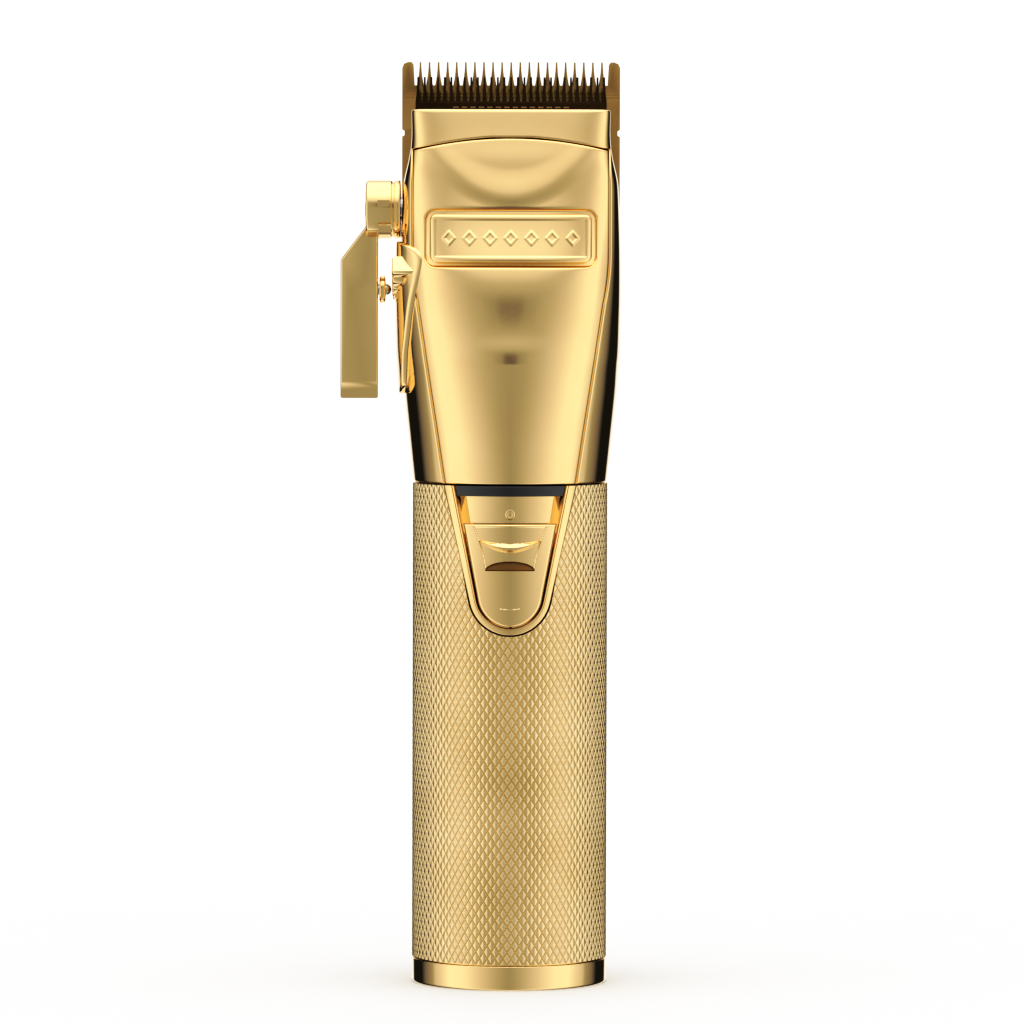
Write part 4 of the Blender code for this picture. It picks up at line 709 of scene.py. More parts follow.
def housing():
    """The sides and back of the head, with rims that roll over at the seams and screw recesses."""
    across, down = 240, 130
    low = SEAM_Z + GAP / 2
    shares = clustered(0.0, 1.0, across, 0.006, 6)
    levels = clustered(0.0, 1.0, down, 0.006, 6)
    skin = np.zeros((len(levels), len(shares), 3))
    lining = np.zeros_like(skin)
    for row, level in enumerate(levels):
        z = low + (SIDE_TOP - low) * level
        half = float(cover_half_width(z)) + GAP / 2
        width, front, rear, square = (float(value) for value in station(z))
        # angle at which the front seam is met on the -X and the +X side
        lean = acos(min((half / width), 1.0) ** (square / 2))
        angle = np.linspace(-lean, pi + lean, 721)
        x, y = section(np.full(angle.shape, z), angle)
        seated = max(0.0, min((z - SEAT_FOOT) / (1.2 * MM), 1.0))
        y = np.where(y > SEAT_Y, SEAT_Y + (y - SEAT_Y) * (1 - seated), y)
        run = np.concatenate([[0.0], np.cumsum(np.hypot(np.diff(x), np.diff(y)))])
        place = shares * run[-1]
        px, py = np.interp(place, run, x), np.interp(place, run, y)
        near = np.minimum(place, run[-1] - place)
        dip = np.maximum(roll(near, EDGE), roll(z - low, EDGE))
        top = np.where(py < 4 * MM, SIDE_TOP, BLADE_SEAT_TOP)
        skin[row, :, 0] = px * (1 - dip / width)
        skin[row, :, 1] = py * (1 - dip / max(front, rear))
        skin[row, :, 2] = np.minimum(z, top)
        lining[row, :, 0] = px * (1 - SHELL_WALL / width)
        lining[row, :, 1] = py * (1 - SHELL_WALL / max(front, rear))
        lining[row, :, 2] = skin[row, :, 2]
    mesh = shell(skin, lining)
    for side in (-1, 1):
        mesh = cut(mesh, rod(SCREW_POCKET, 0, FAR / 2, (side * SCREW_X, SCREW_FLOOR, SCREW_Z), "Y"))
    piece("housing_skin", mesh, "rear_housing")


# ---------------------------------------------------------------- handle

KNURLS_AROUND = 77
KNURL_ROWS = 37.5
KNURL_DEPTH = 0.24 * MM


def grip_sleeve():
    """The knurled tube: interleaved raised diamonds between V grooves, notched for the switch."""
    low, high = GRIP_LOW.z, GRIP_HIGH.z
    tall = (high - low) / KNURL_ROWS
    slice_angle = 2 * pi / KNURLS_AROUND
    points, faces, known = [], [], {}

    def corner(column, row, radius):
        """A lattice point in half cells. Neighbouring diamonds share their groove points."""
        key = (column % (2 * KNURLS_AROUND), row)
        if key not in known:
            known[key] = len(points)
            angle = column * slice_angle / 2
            points.append((radius * cos(angle), radius * sin(angle), low + row * tall / 2))
        return known[key]

    rows = int(2 * KNURL_ROWS) + 4
    for row in range(-3, rows):
        for column in range(row % 2, 2 * KNURLS_AROUND, 2):
            ring = [corner(column + dx, row + dz, GRIP_RADIUS - KNURL_DEPTH)
                    for dx, dz in ((1, 0), (0, 1), (-1, 0), (0, -1))]
            for scale, drop in ((0.80, 0.085), (0.22, 0.0)):
                start = len(points)
                for dx, dz in ((1, 0), (0, 1), (-1, 0), (0, -1)):
                    angle = (column + dx * scale) * slice_angle / 2
                    radius = GRIP_RADIUS - drop * MM
                    points.append((radius * cos(angle), radius * sin(angle),
                                   low + (row + dz * scale) * tall / 2))
                inner = [start, start + 1, start + 2, start + 3]
                for side in range(4):
                    after = (side + 1) % 4
                    faces.append((ring[side], ring[after], inner[after], inner[side]))
                ring = inner
            faces.append(tuple(ring))
    made = bpy.data.meshes.new("mesh")
    made.from_pydata(points, [], faces)
    shape = bmesh.new()
    shape.from_mesh(made)
    bpy.data.meshes.remove(made)
    for height, way in ((low, -1), (high, 1)):
        parts = shape.verts[:] + shape.edges[:] + shape.faces[:]
        bmesh.ops.bisect_plane(shape, geom=parts, dist=0.0001 * MM, plane_co=(0, 0, height),
                               plane_no=(0, 0, way), clear_outer=True)
    rims = [edge for edge in shape.edges if edge.is_boundary]
    wall = bmesh.ops.extrude_edge_only(shape, edges=rims)
    moved = [part for part in wall["geom"] if isinstance(part, bmesh.types.BMVert)]
    for vert in moved:
        flat = Vector((vert.co.x, vert.co.y, 0)).normalized() * (GRIP_RADIUS - 1.2 * MM)
        vert.co = Vector((flat.x, flat.y, vert.co.z))
    inner = [edge for edge in shape.edges if edge.is_boundary]
    bmesh.ops.bridge_loops(shape, edges=inner)
    bmesh.ops.triangulate(shape, faces=[face for face in shape.faces if len(face.verts) > 4])
    bmesh.ops.recalc_face_normals(shape, faces=shape.faces)
    mesh = cut(to_mesh(shape), prism(notch(GAP / 2, SEAM_Z + 5 * MM), -FAR, 0))
    piece("knurled_sleeve", mesh, "grip_sleeve", "knurled_gold", angle=12)


def screw(name, stands_for, axis, facing, head, body="root"):
    """A socket head screw on its CAD box: rounded head, hexagon socket and plain shank."""
    low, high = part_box(stands_for)
    along = "XYZ".index(axis)
    others = [index for index in range(3) if index != along]
    radius = (high[others[0]] - low[others[0]]) / 2
    length = high[along] - low[along]
    centre = [(low[index] + high[index]) / 2 for index in range(3)]
    centre[along] = high[along] if facing > 0 else low[along]
    edge = 0.35 * MM
    profile = [(0, 0)] + quarter(radius - edge, -edge, edge, 90, 0, 6)
    profile += [(radius, -head), (radius * 0.55, -head), (radius * 0.55, -length), (0, -length)]
    mesh = turned([(r, h * facing) for r, h in profile], 64, tuple(centre), axis)
    socket = [(radius * 0.45 * cos(pi * step / 3), radius * 0.45 * sin(pi * step / 3)) for step in range(6)]
    offset = [(a + centre[others[0]], b + centre[others[1]]) for a, b in socket]
    ends = sorted((centre[along] + facing * 0.5 * MM, centre[along] - facing * head * 0.7))
    mesh = cut(mesh, prism(offset, ends[0], ends[1], axis))
    piece(name, mesh, stands_for, "steel", body)


def base_cap():
    """The turned cap the clipper stands on, with chamfers, screw pockets and the socket's bore."""
    high = GRIP_LOW.z - GAP
    inner = GRIP_RADIUS - 1.2 * MM - GAP
    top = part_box("base_cap")[1].z
    profile = [(0, 0.3 * MM), (GRIP_RADIUS - 1.6 * MM, 0.3 * MM), (GRIP_RADIUS - 1.9 * MM, 0),
               (GRIP_RADIUS - 0.65 * MM, 0)]
    profile += quarter(GRIP_RADIUS - 0.6 * MM, 0.6 * MM, 0.6 * MM, -90, 0, 8)
    profile += quarter(GRIP_RADIUS - 0.25 * MM, high - 0.25 * MM, 0.25 * MM, 0, 90, 6)
    profile += [(inner, high), (inner, top - 0.2 * MM), (inner - 0.2 * MM, top),
                (inner - 1.8 * MM, top), (inner - 1.8 * MM, 2.2 * MM), (0, 2.2 * MM)]
    profile = [(radius, max(height, 0.0)) for radius, height in profile]
    mesh = turned(profile, 256)
    for stands_for in ("base_screw_left", "base_screw_right", "charging_jack"):
        low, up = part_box(stands_for)
        radius = (up.x - low.x) / 2 + 0.15 * MM
        mesh = cut(mesh, rod(radius, -MM, FAR, ((low.x + up.x) / 2, (low.y + up.y) / 2, 0)))
    piece("cap_turned", mesh, "base_cap")


def charging_socket():
    """The round charging socket in the cap: a lipped sleeve with a centre pin."""
    low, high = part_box("charging_jack")
    radius = (high.x - low.x) / 2
    bore = 2.8 * MM
    place = ((low.x + high.x) / 2, (low.y + high.y) / 2, 0)
    rim = [(bore + 0.3 * MM, low.z), (radius - 0.3 * MM, low.z), (radius, low.z + 0.3 * MM),
           (radius, high.z), (0, high.z), (0, low.z + 1.0 * MM), (0.5 * MM, low.z + 1.2 * MM),
           (0.7 * MM, low.z + 1.6 * MM), (0.7 * MM, high.z - 1.2 * MM), (bore, high.z - 1.2 * MM),
           (bore, low.z + 0.3 * MM)]
    piece("charging_socket", turned(rim, 64, place), "charging_jack", "black_plastic", angle=35)


# ---------------------------------------------------------------- switch panel

BEZEL_PROUD = 0.2 * MM
PANEL_FLOOR = 1.9 * MM     # the track's floor below the grip's radius
PANEL_BACK = 2.7 * MM      # the track's rear below the grip's radius
SLIDER_TIP_RADIUS = 6.6 * MM
MOON_FOOT = SLIDER_LOW.z + 11.4 * MM
MOON_HALF = 5.0 * MM
MOON_TALL = 1.9 * MM
RIDGE_Z = SLIDER_LOW.z + 15.06 * MM
RIDGE_HALF = 6.3 * MM
DASH_Z = SLIDER_LOW.z + 3.6 * MM
DASH_HALF = 2.2 * MM
STEM_FOOT = SLIDER_LOW.z + 10.7 * MM


def slider_outline(grow, top=None):
    """The slider's V, grown outwards and run on up to a height, with as many points as notch()."""
    tip, radius = SLIDER_LOW.z - grow, SLIDER_TIP_RADIUS + grow
    half, head = SLIDER_HIGH.x + grow, SLIDER_HIGH.z + grow
    if top is not None:
        lean = -side_lean(half, head - tip - radius, radius)
        half, head = half + (top - head) * sin(lean) / cos(lean), top
    return shield(half, head, tip, radius)


def along_outline(outline, extra=14):
    """An outline with points added on its two straight sides."""
    first, last = outline[0], outline[-1]
    right = [tuple(np.array(first) + (np.array(outline[1]) - np.array(first)) * step / extra)
             for step in range(extra)]
    left = [tuple(np.array(outline[-2]) + (np.array(last) - np.array(outline[-2])) * (step + 1) / extra)
            for step in range(extra)]
    return np.array(right + list(outline[1:-1]) + left)


def bent(x, z, radius):
    """A point of the panel laid on a cylinder round the grip's axis."""
    return np.stack([x, -np.sqrt(np.maximum(radius**2 - x**2, 0)), z], axis=-1)


def bezel():
    """The V rim round the switch, with two fine grooves, and the track's floor behind the slider."""
    top = SEAM_Z - GAP / 2
    outer = along_outline(notch(-GAP / 2, top))
    inner = along_outline(slider_outline(GAP, top))
    front = GRIP_RADIUS + BEZEL_PROUD
    steps = []
    width = 1.75 * MM
    for place in clustered(0.0, 1.0, 3, 0.16, 6):
        steps.append((place, front - float(roll(min(place, 1 - place) * width, 0.28 * MM))))
    groove = [(0.66, 0.0), (0.69, 0.16), (0.72, 0.16), (0.75, 0.0), (0.84, 0.0), (0.87, 0.16),
              (0.90, 0.16), (0.93, 0.0)]
    steps = sorted([step for step in steps if not 0.6 < step[0] < 0.96]
                   + [(place, front - depth * MM) for place, depth in groove])
    floor_radius, back_radius = GRIP_RADIUS - PANEL_FLOOR, GRIP_RADIUS - PANEL_BACK
    steps += [(1.0, floor_radius), (1.0, back_radius), (0.0, back_radius)]
    profiles = np.array([[bent(*(o * (1 - place) + i * place), radius) for place, radius in steps]
                         for o, i in zip(outer, inner)])
    rim = sweep(profiles)
    low, high = SLIDER_LOW.z - 14.2 * MM, SEAM_Z - 0.3 * MM
    plate = turned([(back_radius, low), (floor_radius, low), (floor_radius, high),
                    (back_radius, high)], 288)
    plate = keep(plate, prism(slider_outline(GAP + 0.3 * MM, top - 0.3 * MM), -FAR, 0))
    slot_low, slot_high = SLIDER_LOW.z + 8.8 * MM, SLIDER_LOW.z + 19.0 * MM
    plate = cut(plate, box((-4.4 * MM, -FAR, slot_low), (4.4 * MM, 0, slot_high)))
    mesh = join(rim, plate)
    piece("bezel_rim", mesh, "switch_bezel")


def window():
    """The smoked indicator window across the top of the bezel, with a rounded rim."""
    low, high = LENS_LOW.z + 0.05 * MM, LENS_HIGH.z
    half = LENS_HIGH.x
    shares = clustered(-1.0, 1.0, 60, 0.02, 5)
    levels = clustered(0.0, 1.0, 8, 0.12, 5)
    share, level = np.meshgrid(shares, levels)
    z = low + (high - low) * level
    reach = half - (high - z) * 0.24
    x = share * reach
    near = np.minimum.reduce([reach - np.abs(x), z - low, high - z])
    front = GRIP_RADIUS - roll(near, 0.25 * MM)
    mesh = shell(bent(x, z, front), bent(x, z, np.full(x.shape, GRIP_RADIUS - 1.5 * MM)))
    piece("indicator_window", mesh, "indicator_lens", "smoked_lens")


def zero_mark():
    """A small raised ring on the track's floor, above the slider."""
    centre_z = SLIDER_HIGH.z + 1.8 * MM
    angles = np.linspace(0, 2 * pi, 49)[:-1]
    rings = []
    for grow, lift in ((0.28, -0.3), (0.28, 0.20), (0.2, 0.26), (-0.2, 0.26), (-0.28, 0.20),
                       (-0.28, -0.3)):
        x = (0.68 + grow) * MM * np.cos(angles)
        z = centre_z + (0.78 + grow) * MM * np.sin(angles)
        rings.append(bent(x, z, np.full(x.shape, GRIP_RADIUS - PANEL_FLOOR + lift * MM)))
    mesh = sweep(np.array(rings).transpose(1, 0, 2), True)
    piece("zero_ring", mesh, None)


def shield_depth(x, z, half_width, top, tip, radius):
    """How far inside a V with a round tip a point lies."""
    centre = tip + radius
    start = side_lean(half_width, top - centre, radius)
    normal_x, normal_z = cos(start), sin(start)
    side = radius - (np.abs(x) * normal_x + (z - centre) * normal_z)
    along = -np.abs(x) * normal_z + (z - centre) * normal_x
    return np.where(along > 0, side, radius - np.hypot(x, z - centre))


def slider():
    """The thumb slider: a proud V with a pressed panel, a smiling ridge and a half-moon hollow, whose front
    faces carry a darker gold as painted shade.
    """
    half, top, tip, radius = SLIDER_HIGH.x, SLIDER_HIGH.z, SLIDER_LOW.z, SLIDER_TIP_RADIUS
    shares = clustered(-1.0, 1.0, 150, 0.06, 8)
    fall = (1 - np.cos(np.linspace(0, pi / 2, 60))) * 3 * MM
    levels = np.concatenate([tip + fall[:-1], np.linspace(tip + 3 * MM, top - 0.5 * MM, 190),
                             top - 0.5 * MM * np.cos(np.linspace(0, pi / 2, 8))[1:]])
    share, z = np.meshgrid(shares, levels)
    centre = tip + radius
    start = side_lean(half, top - centre, radius)
    touch = centre + radius * sin(start)
    line = (radius - (z - centre) * sin(start)) / cos(start)
    reach = np.where(z > touch, line, np.sqrt(np.maximum(radius**2 - (z - centre)**2, 0)))
    x = share * reach
    near = np.minimum(shield_depth(x, z, half, top, tip, radius), top - z)
    front = GRIP_RADIUS + 0.9 * MM - roll(near, 0.55 * MM)
    rise = (z - MOON_FOOT) / (top - MOON_FOOT)
    panel_edge = 4.86 * MM + 2.74 * MM * np.clip(rise, 0, 1)**1.5
    inside = np.clip((panel_edge - np.abs(x)) / (0.18 * MM) + 0.5, 0, 1) * (rise > 0)
    front -= 0.22 * MM * inside * np.clip((near - 0.5 * MM) / (0.3 * MM), 0, 1)
    bow = (x / RIDGE_HALF)**2
    upper, lower = RIDGE_Z + (1.84 + 0.8 * bow) * MM, RIDGE_Z + 2.64 * bow * MM
    part = np.clip((z - lower) / np.maximum(upper - lower, 0.05 * MM), 0, 1)
    ends = np.clip((1 - bow) / 0.12, 0, 1)
    front += 0.62 * MM * np.clip(part / 0.30, 0, 1) * np.clip((1 - part) / 0.45, 0, 1)**0.8 * ends
    arch = MOON_FOOT + MOON_TALL * np.sqrt(np.clip(1 - (x / MOON_HALF)**2, 0, 1))
    hollow = np.minimum(arch - z, z - MOON_FOOT)
    depth = np.clip(hollow / (0.12 * MM), 0, 1)
    front -= depth * (0.25 * MM + 0.28 * (z - MOON_FOOT)) * (np.abs(x) < MOON_HALF)
    mark = np.abs(z - DASH_Z - 0.2 * MM * (x / DASH_HALF)**2) + np.maximum(np.abs(x) - DASH_HALF, 0)
    front -= 0.10 * MM * np.clip(1 - mark / (0.14 * MM), 0, 1)
    outer = bent(x, z, front)
    inner = bent(x, z, np.full(x.shape, GRIP_RADIUS - 0.6 * MM))
    mesh = shell(outer, inner)
    stem = box((-2.6 * MM, -GRIP_RADIUS + 0.5 * MM, STEM_FOOT),
               (2.6 * MM, -GRIP_RADIUS + 5.8 * MM, STEM_FOOT + 4.0 * MM))
    made = piece("slider_thumb", join(mesh, stem), "switch_slider", body="slider")
    # the front faces inside the half-moon hollow get the darker gold, a painted shade; the hollow's shape is
    # modelled
    made.data.materials.append(MATERIALS["recess_gold"])
    for face in made.data.polygons:
        place_x, place_z = face.center.x, face.center.z
        room = 1 - (place_x / MOON_HALF)**2
        if face.center.y < -GRIP_RADIUS + 2.5 * MM and room > 0:
            if MOON_FOOT < place_z < MOON_FOOT + MOON_TALL * sqrt(room):
                face.material_index = 1


# ---------------------------------------------------------------- blades

COMB_TEETH = 21
COMB_PITCH = 1.876 * MM
CUTTER_TEETH = 29
# number of dashes in the lip's painted highlight
LIP_HIGHLIGHT_DASHES = 14


def needle(middle, pitch, root, tip, land, spread):
    """The right and then the left flank of a tooth: a thin point that widens towards its root."""
    right = []
    for share in (0.0, 0.04, 0.12, 0.25, 0.42, 0.62, 0.82, 1.0):
        half = land / 2 + (pitch * spread - land / 2) * (1 - share)**1.9
        right.append((middle + half, root + (tip - root) * share))
    return right + [(2 * middle - x, z) for x, z in reversed(right)]


def comb(half_width, foot, root, tip, count, pitch, land, guard, nick=None):
    """A toothed blade's outline, from its left foot over the teeth to its right foot."""
    outline = [(-half_width, foot)]
    notch_points = []
    if nick:
        low, high, depth = nick
        notch_points = [(half_width, low), (half_width - depth, low + depth * 0.6),
                        (half_width - depth, high - depth * 0.6), (half_width, high)]
        outline += [(-x, z) for x, z in notch_points]
    if guard:
        outline += [(-half_width, tip - 1.2 * MM), (-half_width + 0.35 * MM, tip - 0.35 * MM),
                    (-half_width + 1.2 * MM, tip), (-half_width + guard - 0.5 * MM, tip),
                    (-half_width + guard - 0.1 * MM, tip - 0.5 * MM),
                    (-half_width + guard + 0.15 * MM, root)]
    teeth = []
    for index in range(count):
        middle = (index - (count - 1) / 2) * pitch
        teeth += list(reversed(needle(middle, pitch, root, tip, land, 0.37)))
    outline += teeth
    if guard:
        outline += [(-x, z) for x, z in reversed(outline[len(outline) - len(teeth) - 6:-len(teeth)])]
    outline += list(reversed(notch_points))
    return outline + [(half_width, foot)]


def wedge(x_reach, points):
    """A prism along X from a YZ outline, for bevels."""
    return prism(points, -x_reach, x_reach, "X")


def fixed_blade():
    """The wide comb blade: needle teeth between guard teeth, thinned behind towards the points."""
    tip, back, front = BLADE_HIGH.z, BLADE_HIGH.y, BLADE_LOW.y
    outline = comb(BLADE_HIGH.x, BLADE_LOW.z, tip - 4.8 * MM, tip, COMB_TEETH, COMB_PITCH, 0.30 * MM,
                   2.4 * MM, (tip - 15.4 * MM, tip - 13.9 * MM, 0.5 * MM))
    mesh = prism(outline, front, back)
    mesh = cut(mesh, wedge(FAR, [(front + 0.7 * MM, tip + MM), (front + 0.7 * MM, tip),
                                 (back, tip - 17 * MM), (back + MM, tip - 17 * MM),
                                 (back + MM, tip + MM)]))
    for low in (tip - 6.9 * MM, tip - 7.5 * MM):
        mesh = cut(mesh, box((-FAR, front - MM, low), (FAR, front + 0.08 * MM, low + 0.14 * MM)))
    mesh = cut(mesh, box((-14 * MM, front - MM, BLADE_LOW.z - MM),
                         (14 * MM, front + 0.15 * MM, BLADE_LOW.z + 4 * MM)))
    piece("comb_blade", soften(mesh, 0.07 * MM, 2, 35), "fixed_blade", "blade_gold", angle=30)


def moving_blade():
    """The cutting blade: finer teeth, hollow ground on its face, with a lip above the nose whose short dashes
    in a lighter gold are a painted highlight.
    """
    tip, back, front = CUTTER_HIGH.z, CUTTER_HIGH.y, CUTTER_LOW.y
    pitch = 2 * CUTTER_HIGH.x / CUTTER_TEETH
    outline = comb(CUTTER_HIGH.x, CUTTER_LOW.z, tip - 5.1 * MM, tip, CUTTER_TEETH, pitch, 0.34 * MM, 0)
    mesh = prism(outline, front, back)
    mesh = cut(mesh, wedge(FAR, [(front - MM, tip - 5.9 * MM), (front, tip - 5.9 * MM),
                                 (back - 0.5 * MM, tip), (back - 0.5 * MM, tip + MM),
                                 (front - MM, tip + MM)]))
    mesh = soften(mesh, 0.05 * MM, 2, 35)
    piece("cutting_blade", mesh, "moving_blade", "dark_blade", "cutter", 30)
    # a low ledge of short dashes in the fixed blade's lighter gold on the dark blade: the ledge is modelled,
    # and its lighter colour is a painted highlight
    highlight_dashes = []
    for index in range(LIP_HIGHLIGHT_DASHES):
        middle = (index - (LIP_HIGHLIGHT_DASHES - 1) / 2) * 1.75 * MM
        highlight_dashes.append(soften(box((middle - 0.55 * MM, front - 0.16 * MM, tip - 6.4 * MM),
                                 (middle + 0.55 * MM, front - 0.01 * MM, tip - 6.1 * MM)), 0.04 * MM, 2))
    piece("cutting_lip", together(*highlight_dashes), None, "blade_gold", "cutter", 30)


# ---------------------------------------------------------------- taper lever

LEVER_OUT = -LEVER_LOW.x       # the arm's outer edge, measured to the lever's side
LEVER_IN = 27.2 * MM
HUB_OUT = 29.7 * MM
HUB_IN = -LEVER_HIGH.x
HUB_RADIUS = LEVER_HIGH.y
CLICK_BORE = 2.0 * MM
SECTOR_MIDDLE = LEVER_Z - CLICK_Z      # the dimples' distance from the lever's axis
SECTOR_IN, SECTOR_OUT = SECTOR_MIDDLE - 2.2 * MM, SECTOR_MIDDLE + 2.2 * MM
SCALLOP_DEPTH = 0.45 * MM


def taper_lever():
    """The lever: a turned hub with a flange, and a flat arm with soft edges and a folded foot."""
    edge = 0.45 * MM
    profile = [(0, -HUB_OUT)] + quarter(HUB_RADIUS - edge, -HUB_OUT + edge, edge, -90, 0, 7)
    groove = HUB_IN + 1.5 * MM
    profile += [(HUB_RADIUS, -groove - 0.5 * MM), (HUB_RADIUS - 0.35 * MM, -groove - 0.2 * MM),
                (HUB_RADIUS - 0.35 * MM, -groove + 0.1 * MM), (HUB_RADIUS - 0.1 * MM, -groove + 0.3 * MM)]
    profile += quarter(HUB_RADIUS - edge, -HUB_IN - edge, edge, 0, 90, 7)
    profile += [(3.4 * MM, -HUB_IN), (3.4 * MM, -HUB_OUT + 4 * MM), (0, -HUB_OUT + 4 * MM)]
    hub = turned(profile, 128, (0, 0, LEVER_Z), "X")
    low = LEVER_LOW.z
    shoulder = low + 28.4 * MM
    arm = prism([(-LEVER_IN, low), (-LEVER_OUT, low), (-LEVER_OUT, shoulder),
                 (-HUB_OUT + 0.2 * MM, shoulder + 7.2 * MM), (-HUB_OUT + 0.2 * MM, LEVER_Z),
                 (-LEVER_IN, LEVER_Z)], -2 * MM, 2 * MM)
    arm = soften(arm, 0.42 * MM, 5, 30)
    for way in (-1, 1):
        arm = cut(arm, wedge(FAR, [(way * 2.1 * MM, low + 3.6 * MM), (way * 1.98 * MM, low + 3.4 * MM),
                                   (way * 1.75 * MM, low + 1.7 * MM), (way * 1.1 * MM, low - 0.1 * MM),
                                   (way * 2.1 * MM, low - 0.1 * MM)]))
    slot = prism([(-HUB_OUT + 2.4 * MM, LEVER_Z + 0.6 * MM), (-HUB_IN - 2.2 * MM, LEVER_Z + 0.6 * MM),
                  (-HUB_IN - 2.2 * MM, LEVER_Z + 1.9 * MM), (-HUB_OUT + 2.4 * MM, LEVER_Z + 1.9 * MM)],
                 -FAR, -HUB_RADIUS + 0.45 * MM)
    hollow_at = (0, -HUB_RADIUS + 1.0 * MM, LEVER_Z - 4.6 * MM)
    hollow = rod(2.0 * MM, -HUB_OUT + 2.6 * MM, -HUB_IN - 1.9 * MM, hollow_at, "X")
    head = turned([(0, -HUB_OUT - MM), (3.6 * MM, -HUB_OUT - MM), (3.6 * MM, -HUB_OUT + 1.0 * MM),
                   (1.9 * MM, -HUB_OUT + 1.0 * MM), (1.9 * MM, -HUB_OUT + 9 * MM), (0, -HUB_OUT + 9 * MM)],
                  64, (0, 0, LEVER_Z), "X")
    mesh = cut(join(hub, arm), slot, hollow, head)
    inner_bore = rod(CLICK_BORE, -HUB_OUT - 3.5 * MM, -LEVER_IN + MM, (0, 0, CLICK_Z), "X")
    piece("lever_body", cut(mesh, inner_bore), "taper_lever", body="lever")


def click_pin():
    """The collar on the inside of the arm, and the spring pin that clicks along the scallops."""
    low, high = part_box("plunger_sleeve")
    radius, lip = (high.z - low.z) / 2, 0.3 * MM
    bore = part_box("detent_plunger")[1].z - CLICK_Z + 0.2 * MM
    profile = [(bore, low.x), (radius - lip, low.x), (radius, low.x + lip)]
    profile += quarter(radius - lip, high.x - lip, lip, 0, 90, 4)
    profile += [(bore + 0.4 * MM, high.x), (bore, high.x - 0.3 * MM)]
    piece("click_collar", turned(profile, 96, (0, 0, CLICK_Z), "X"), "plunger_sleeve", body="lever")
    low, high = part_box("detent_plunger")
    radius = (high.z - low.z) / 2
    profile = [(0, low.x), (radius, low.x)] + quarter(0, high.x - radius, radius, 0, 90, 8)
    mesh = turned(profile[:-1] + [(0, high.x)], 64, (0, 0, CLICK_Z), "X")
    piece("click_point", mesh, "detent_plunger", "steel", "plunger")


def head_side(height, along):
    """How far the head's side stands out from the axis, at a depth behind the axis (+Y)."""
    width, front, rear, square = station(height)
    depth = np.where(along > 0, rear, front)
    share = np.minimum(np.abs(along) / depth, 1.0)
    return width * (1 - share ** square) ** (1 / square)


def dome(outer, inner):
    """A closed skin from two stacks of rings, joined at their first ring and closed at their last."""
    rows, columns = outer.shape[:2]
    count = rows * columns
    faces = grid_faces(rows, columns, 0, True) + grid_faces(rows, columns, count, True)
    for column in range(columns):
        after = (column + 1) % columns
        faces.append((column, after, count + after, count + column))
    return mesh_from(np.concatenate([outer.reshape(-1, 3), inner.reshape(-1, 3)]), faces)


def smooth_loop(corners, steps):
    """A closed curve through corner points."""
    corners = np.array(corners, float)
    count = len(corners)
    result = []
    for index in range(count):
        p0, p1, p2, p3 = (corners[(index + shift) % count] for shift in (-1, 0, 1, 2))
        for step in range(steps):
            t = step / steps
            result.append(0.5 * (2 * p1 + (p2 - p0) * t + (2 * p0 - 5 * p1 + 4 * p2 - p3) * t**2
                                 + (3 * p1 - p0 - 3 * p2 + p3) * t**3))
    return np.array(result)


LEAF = (  # corners of the leaf behind the click pin: depth behind the axis and height over the pin, in mm
    (3, -3), (2.6, 6), (-2, 9.2), (-7, 9.8), (-13, 8), (-14, 2), (-12, -8), (-9, -17), (-5, -21),
    (-2, -19))


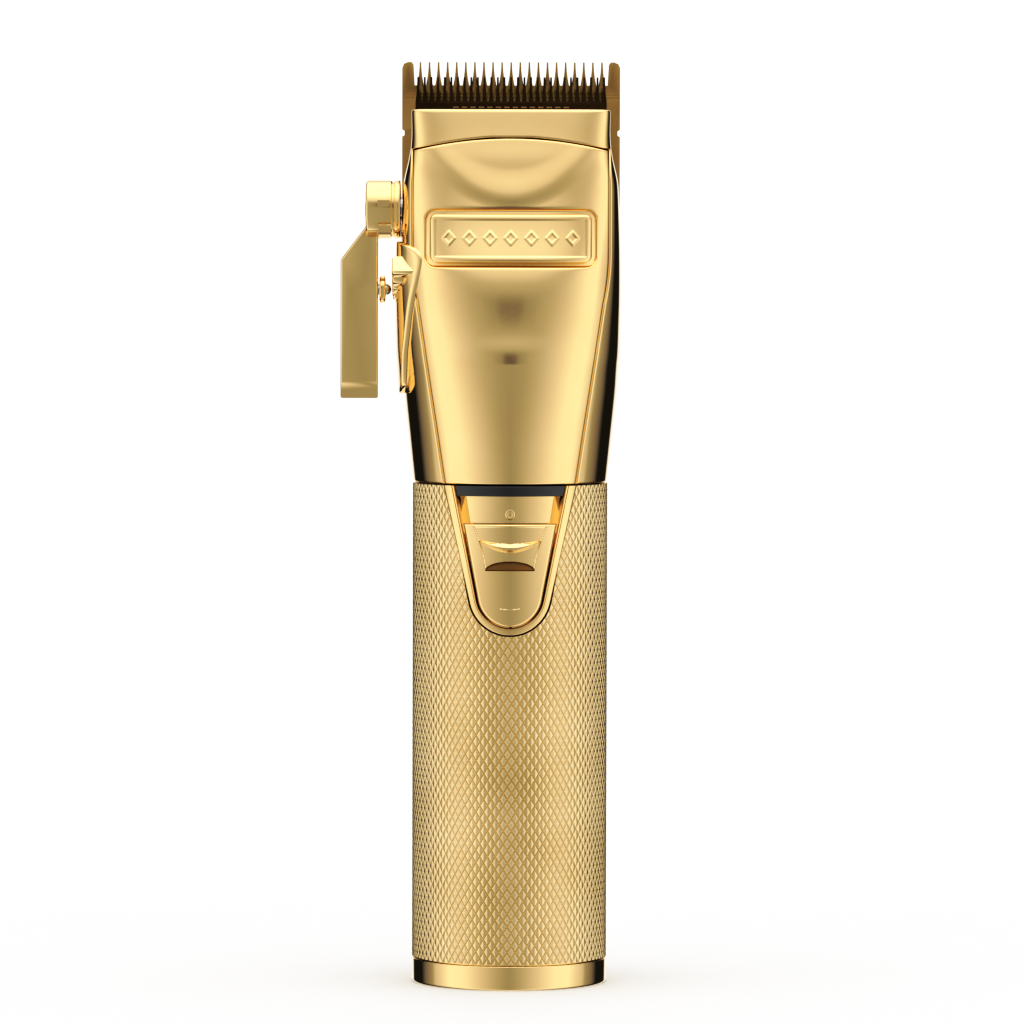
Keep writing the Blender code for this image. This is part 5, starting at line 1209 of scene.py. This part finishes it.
def detent_plate():
    """The leaf on the head's side, and the scalloped sector with its five dimples."""
    loop = smooth_loop(LEAF, 14) * MM + np.array([0, CLICK_Z])
    centre = loop.mean(axis=0)
    rings, lining = [], []
    spans = np.concatenate([1 - 0.06 * (1 - np.cos(np.linspace(0, pi / 2, 6))),
                            np.linspace(0.94, 0.0, 16)[1:]])
    for span in spans:
        points = centre + (loop - centre) * span
        edge = (1 - span) * np.hypot(*(loop - centre).T)
        skin = head_side(points[:, 1], points[:, 0])
        lift = 1.1 * MM - roll(edge, 0.45 * MM)
        rings.append(np.stack([-(skin + lift), points[:, 0], points[:, 1]], 1))
        lining.append(np.stack([-(skin + 0.06 * MM), points[:, 0], points[:, 1]], 1))
    leaf = dome(np.array(rings), np.array(lining))
    face = -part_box("detent_plate")[0].x
    angles = np.radians(np.linspace(-7.5, 47.5, 133))
    radii = clustered(SECTOR_IN, SECTOR_OUT, 22, 0.4 * MM, 5)
    angle, radius = np.meshgrid(angles, radii)
    scallop = SCALLOP_DEPTH * (np.abs(np.sin(np.degrees(angle) * pi / 10))**0.7 - 1)
    outwards = np.maximum(radius - SECTOR_MIDDLE, 0) / (SECTOR_OUT - SECTOR_MIDDLE)
    radius = radius + scallop * outwards
    y, z = -radius * np.sin(angle), LEVER_Z - radius * np.cos(angle)
    click = np.radians(np.round(np.clip(np.degrees(angle), 0, 40) / 10) * 10)
    away = np.hypot(y + SECTOR_MIDDLE * np.sin(click), z - LEVER_Z + SECTOR_MIDDLE * np.cos(click))
    dimple = 0.55 * MM * np.clip(1 - (away / (1.3 * MM))**2, 0, 1)
    near = np.minimum(np.minimum(radius - SECTOR_IN, SECTOR_OUT - radius + scallop),
                      SECTOR_MIDDLE * np.minimum(angle - angles[0], angles[-1] - angle))
    top = face - dimple - roll(near, 0.4 * MM)
    outer = np.stack([-top, y, z], axis=2)
    inner = np.stack([-np.maximum(head_side(z, y) + 0.3 * MM, 0), y, z], axis=2)
    mesh = join(leaf, shell(outer, inner))
    piece("detent_leaf", mesh, "detent_plate")


# ---------------------------------------------------------------- put together

def dress_frame():
    """Every CAD node gets the look of its material slot."""
    for part in frame["record"]["subparts"]:
        for place in frame["nodes"][part["node"]].material_slots:
            place.material = MATERIALS[part["material_slot"]]


dress_frame()
front_cover()
badge()
nose()
housing()
grip_sleeve()
base_cap()
charging_socket()
for side in ("left", "right"):
    screw("cap_screw_" + side, "base_screw_" + side, "Z", -1, 1.6 * MM)
    screw("back_screw_" + side, "housing_screw_" + side, "Y", 1, 1.6 * MM)
    screw("comb_screw_" + side, "blade_screw_" + side, "Y", 1, 1.05 * MM)
bezel()
window()
zero_mark()
slider()
fixed_blade()
moving_blade()
taper_lever()
screw("hub_screw", "lever_screw", "X", -1, 1.0 * MM, "lever")
click_pin()
detent_plate()
world()
floor()
camera()
tone()
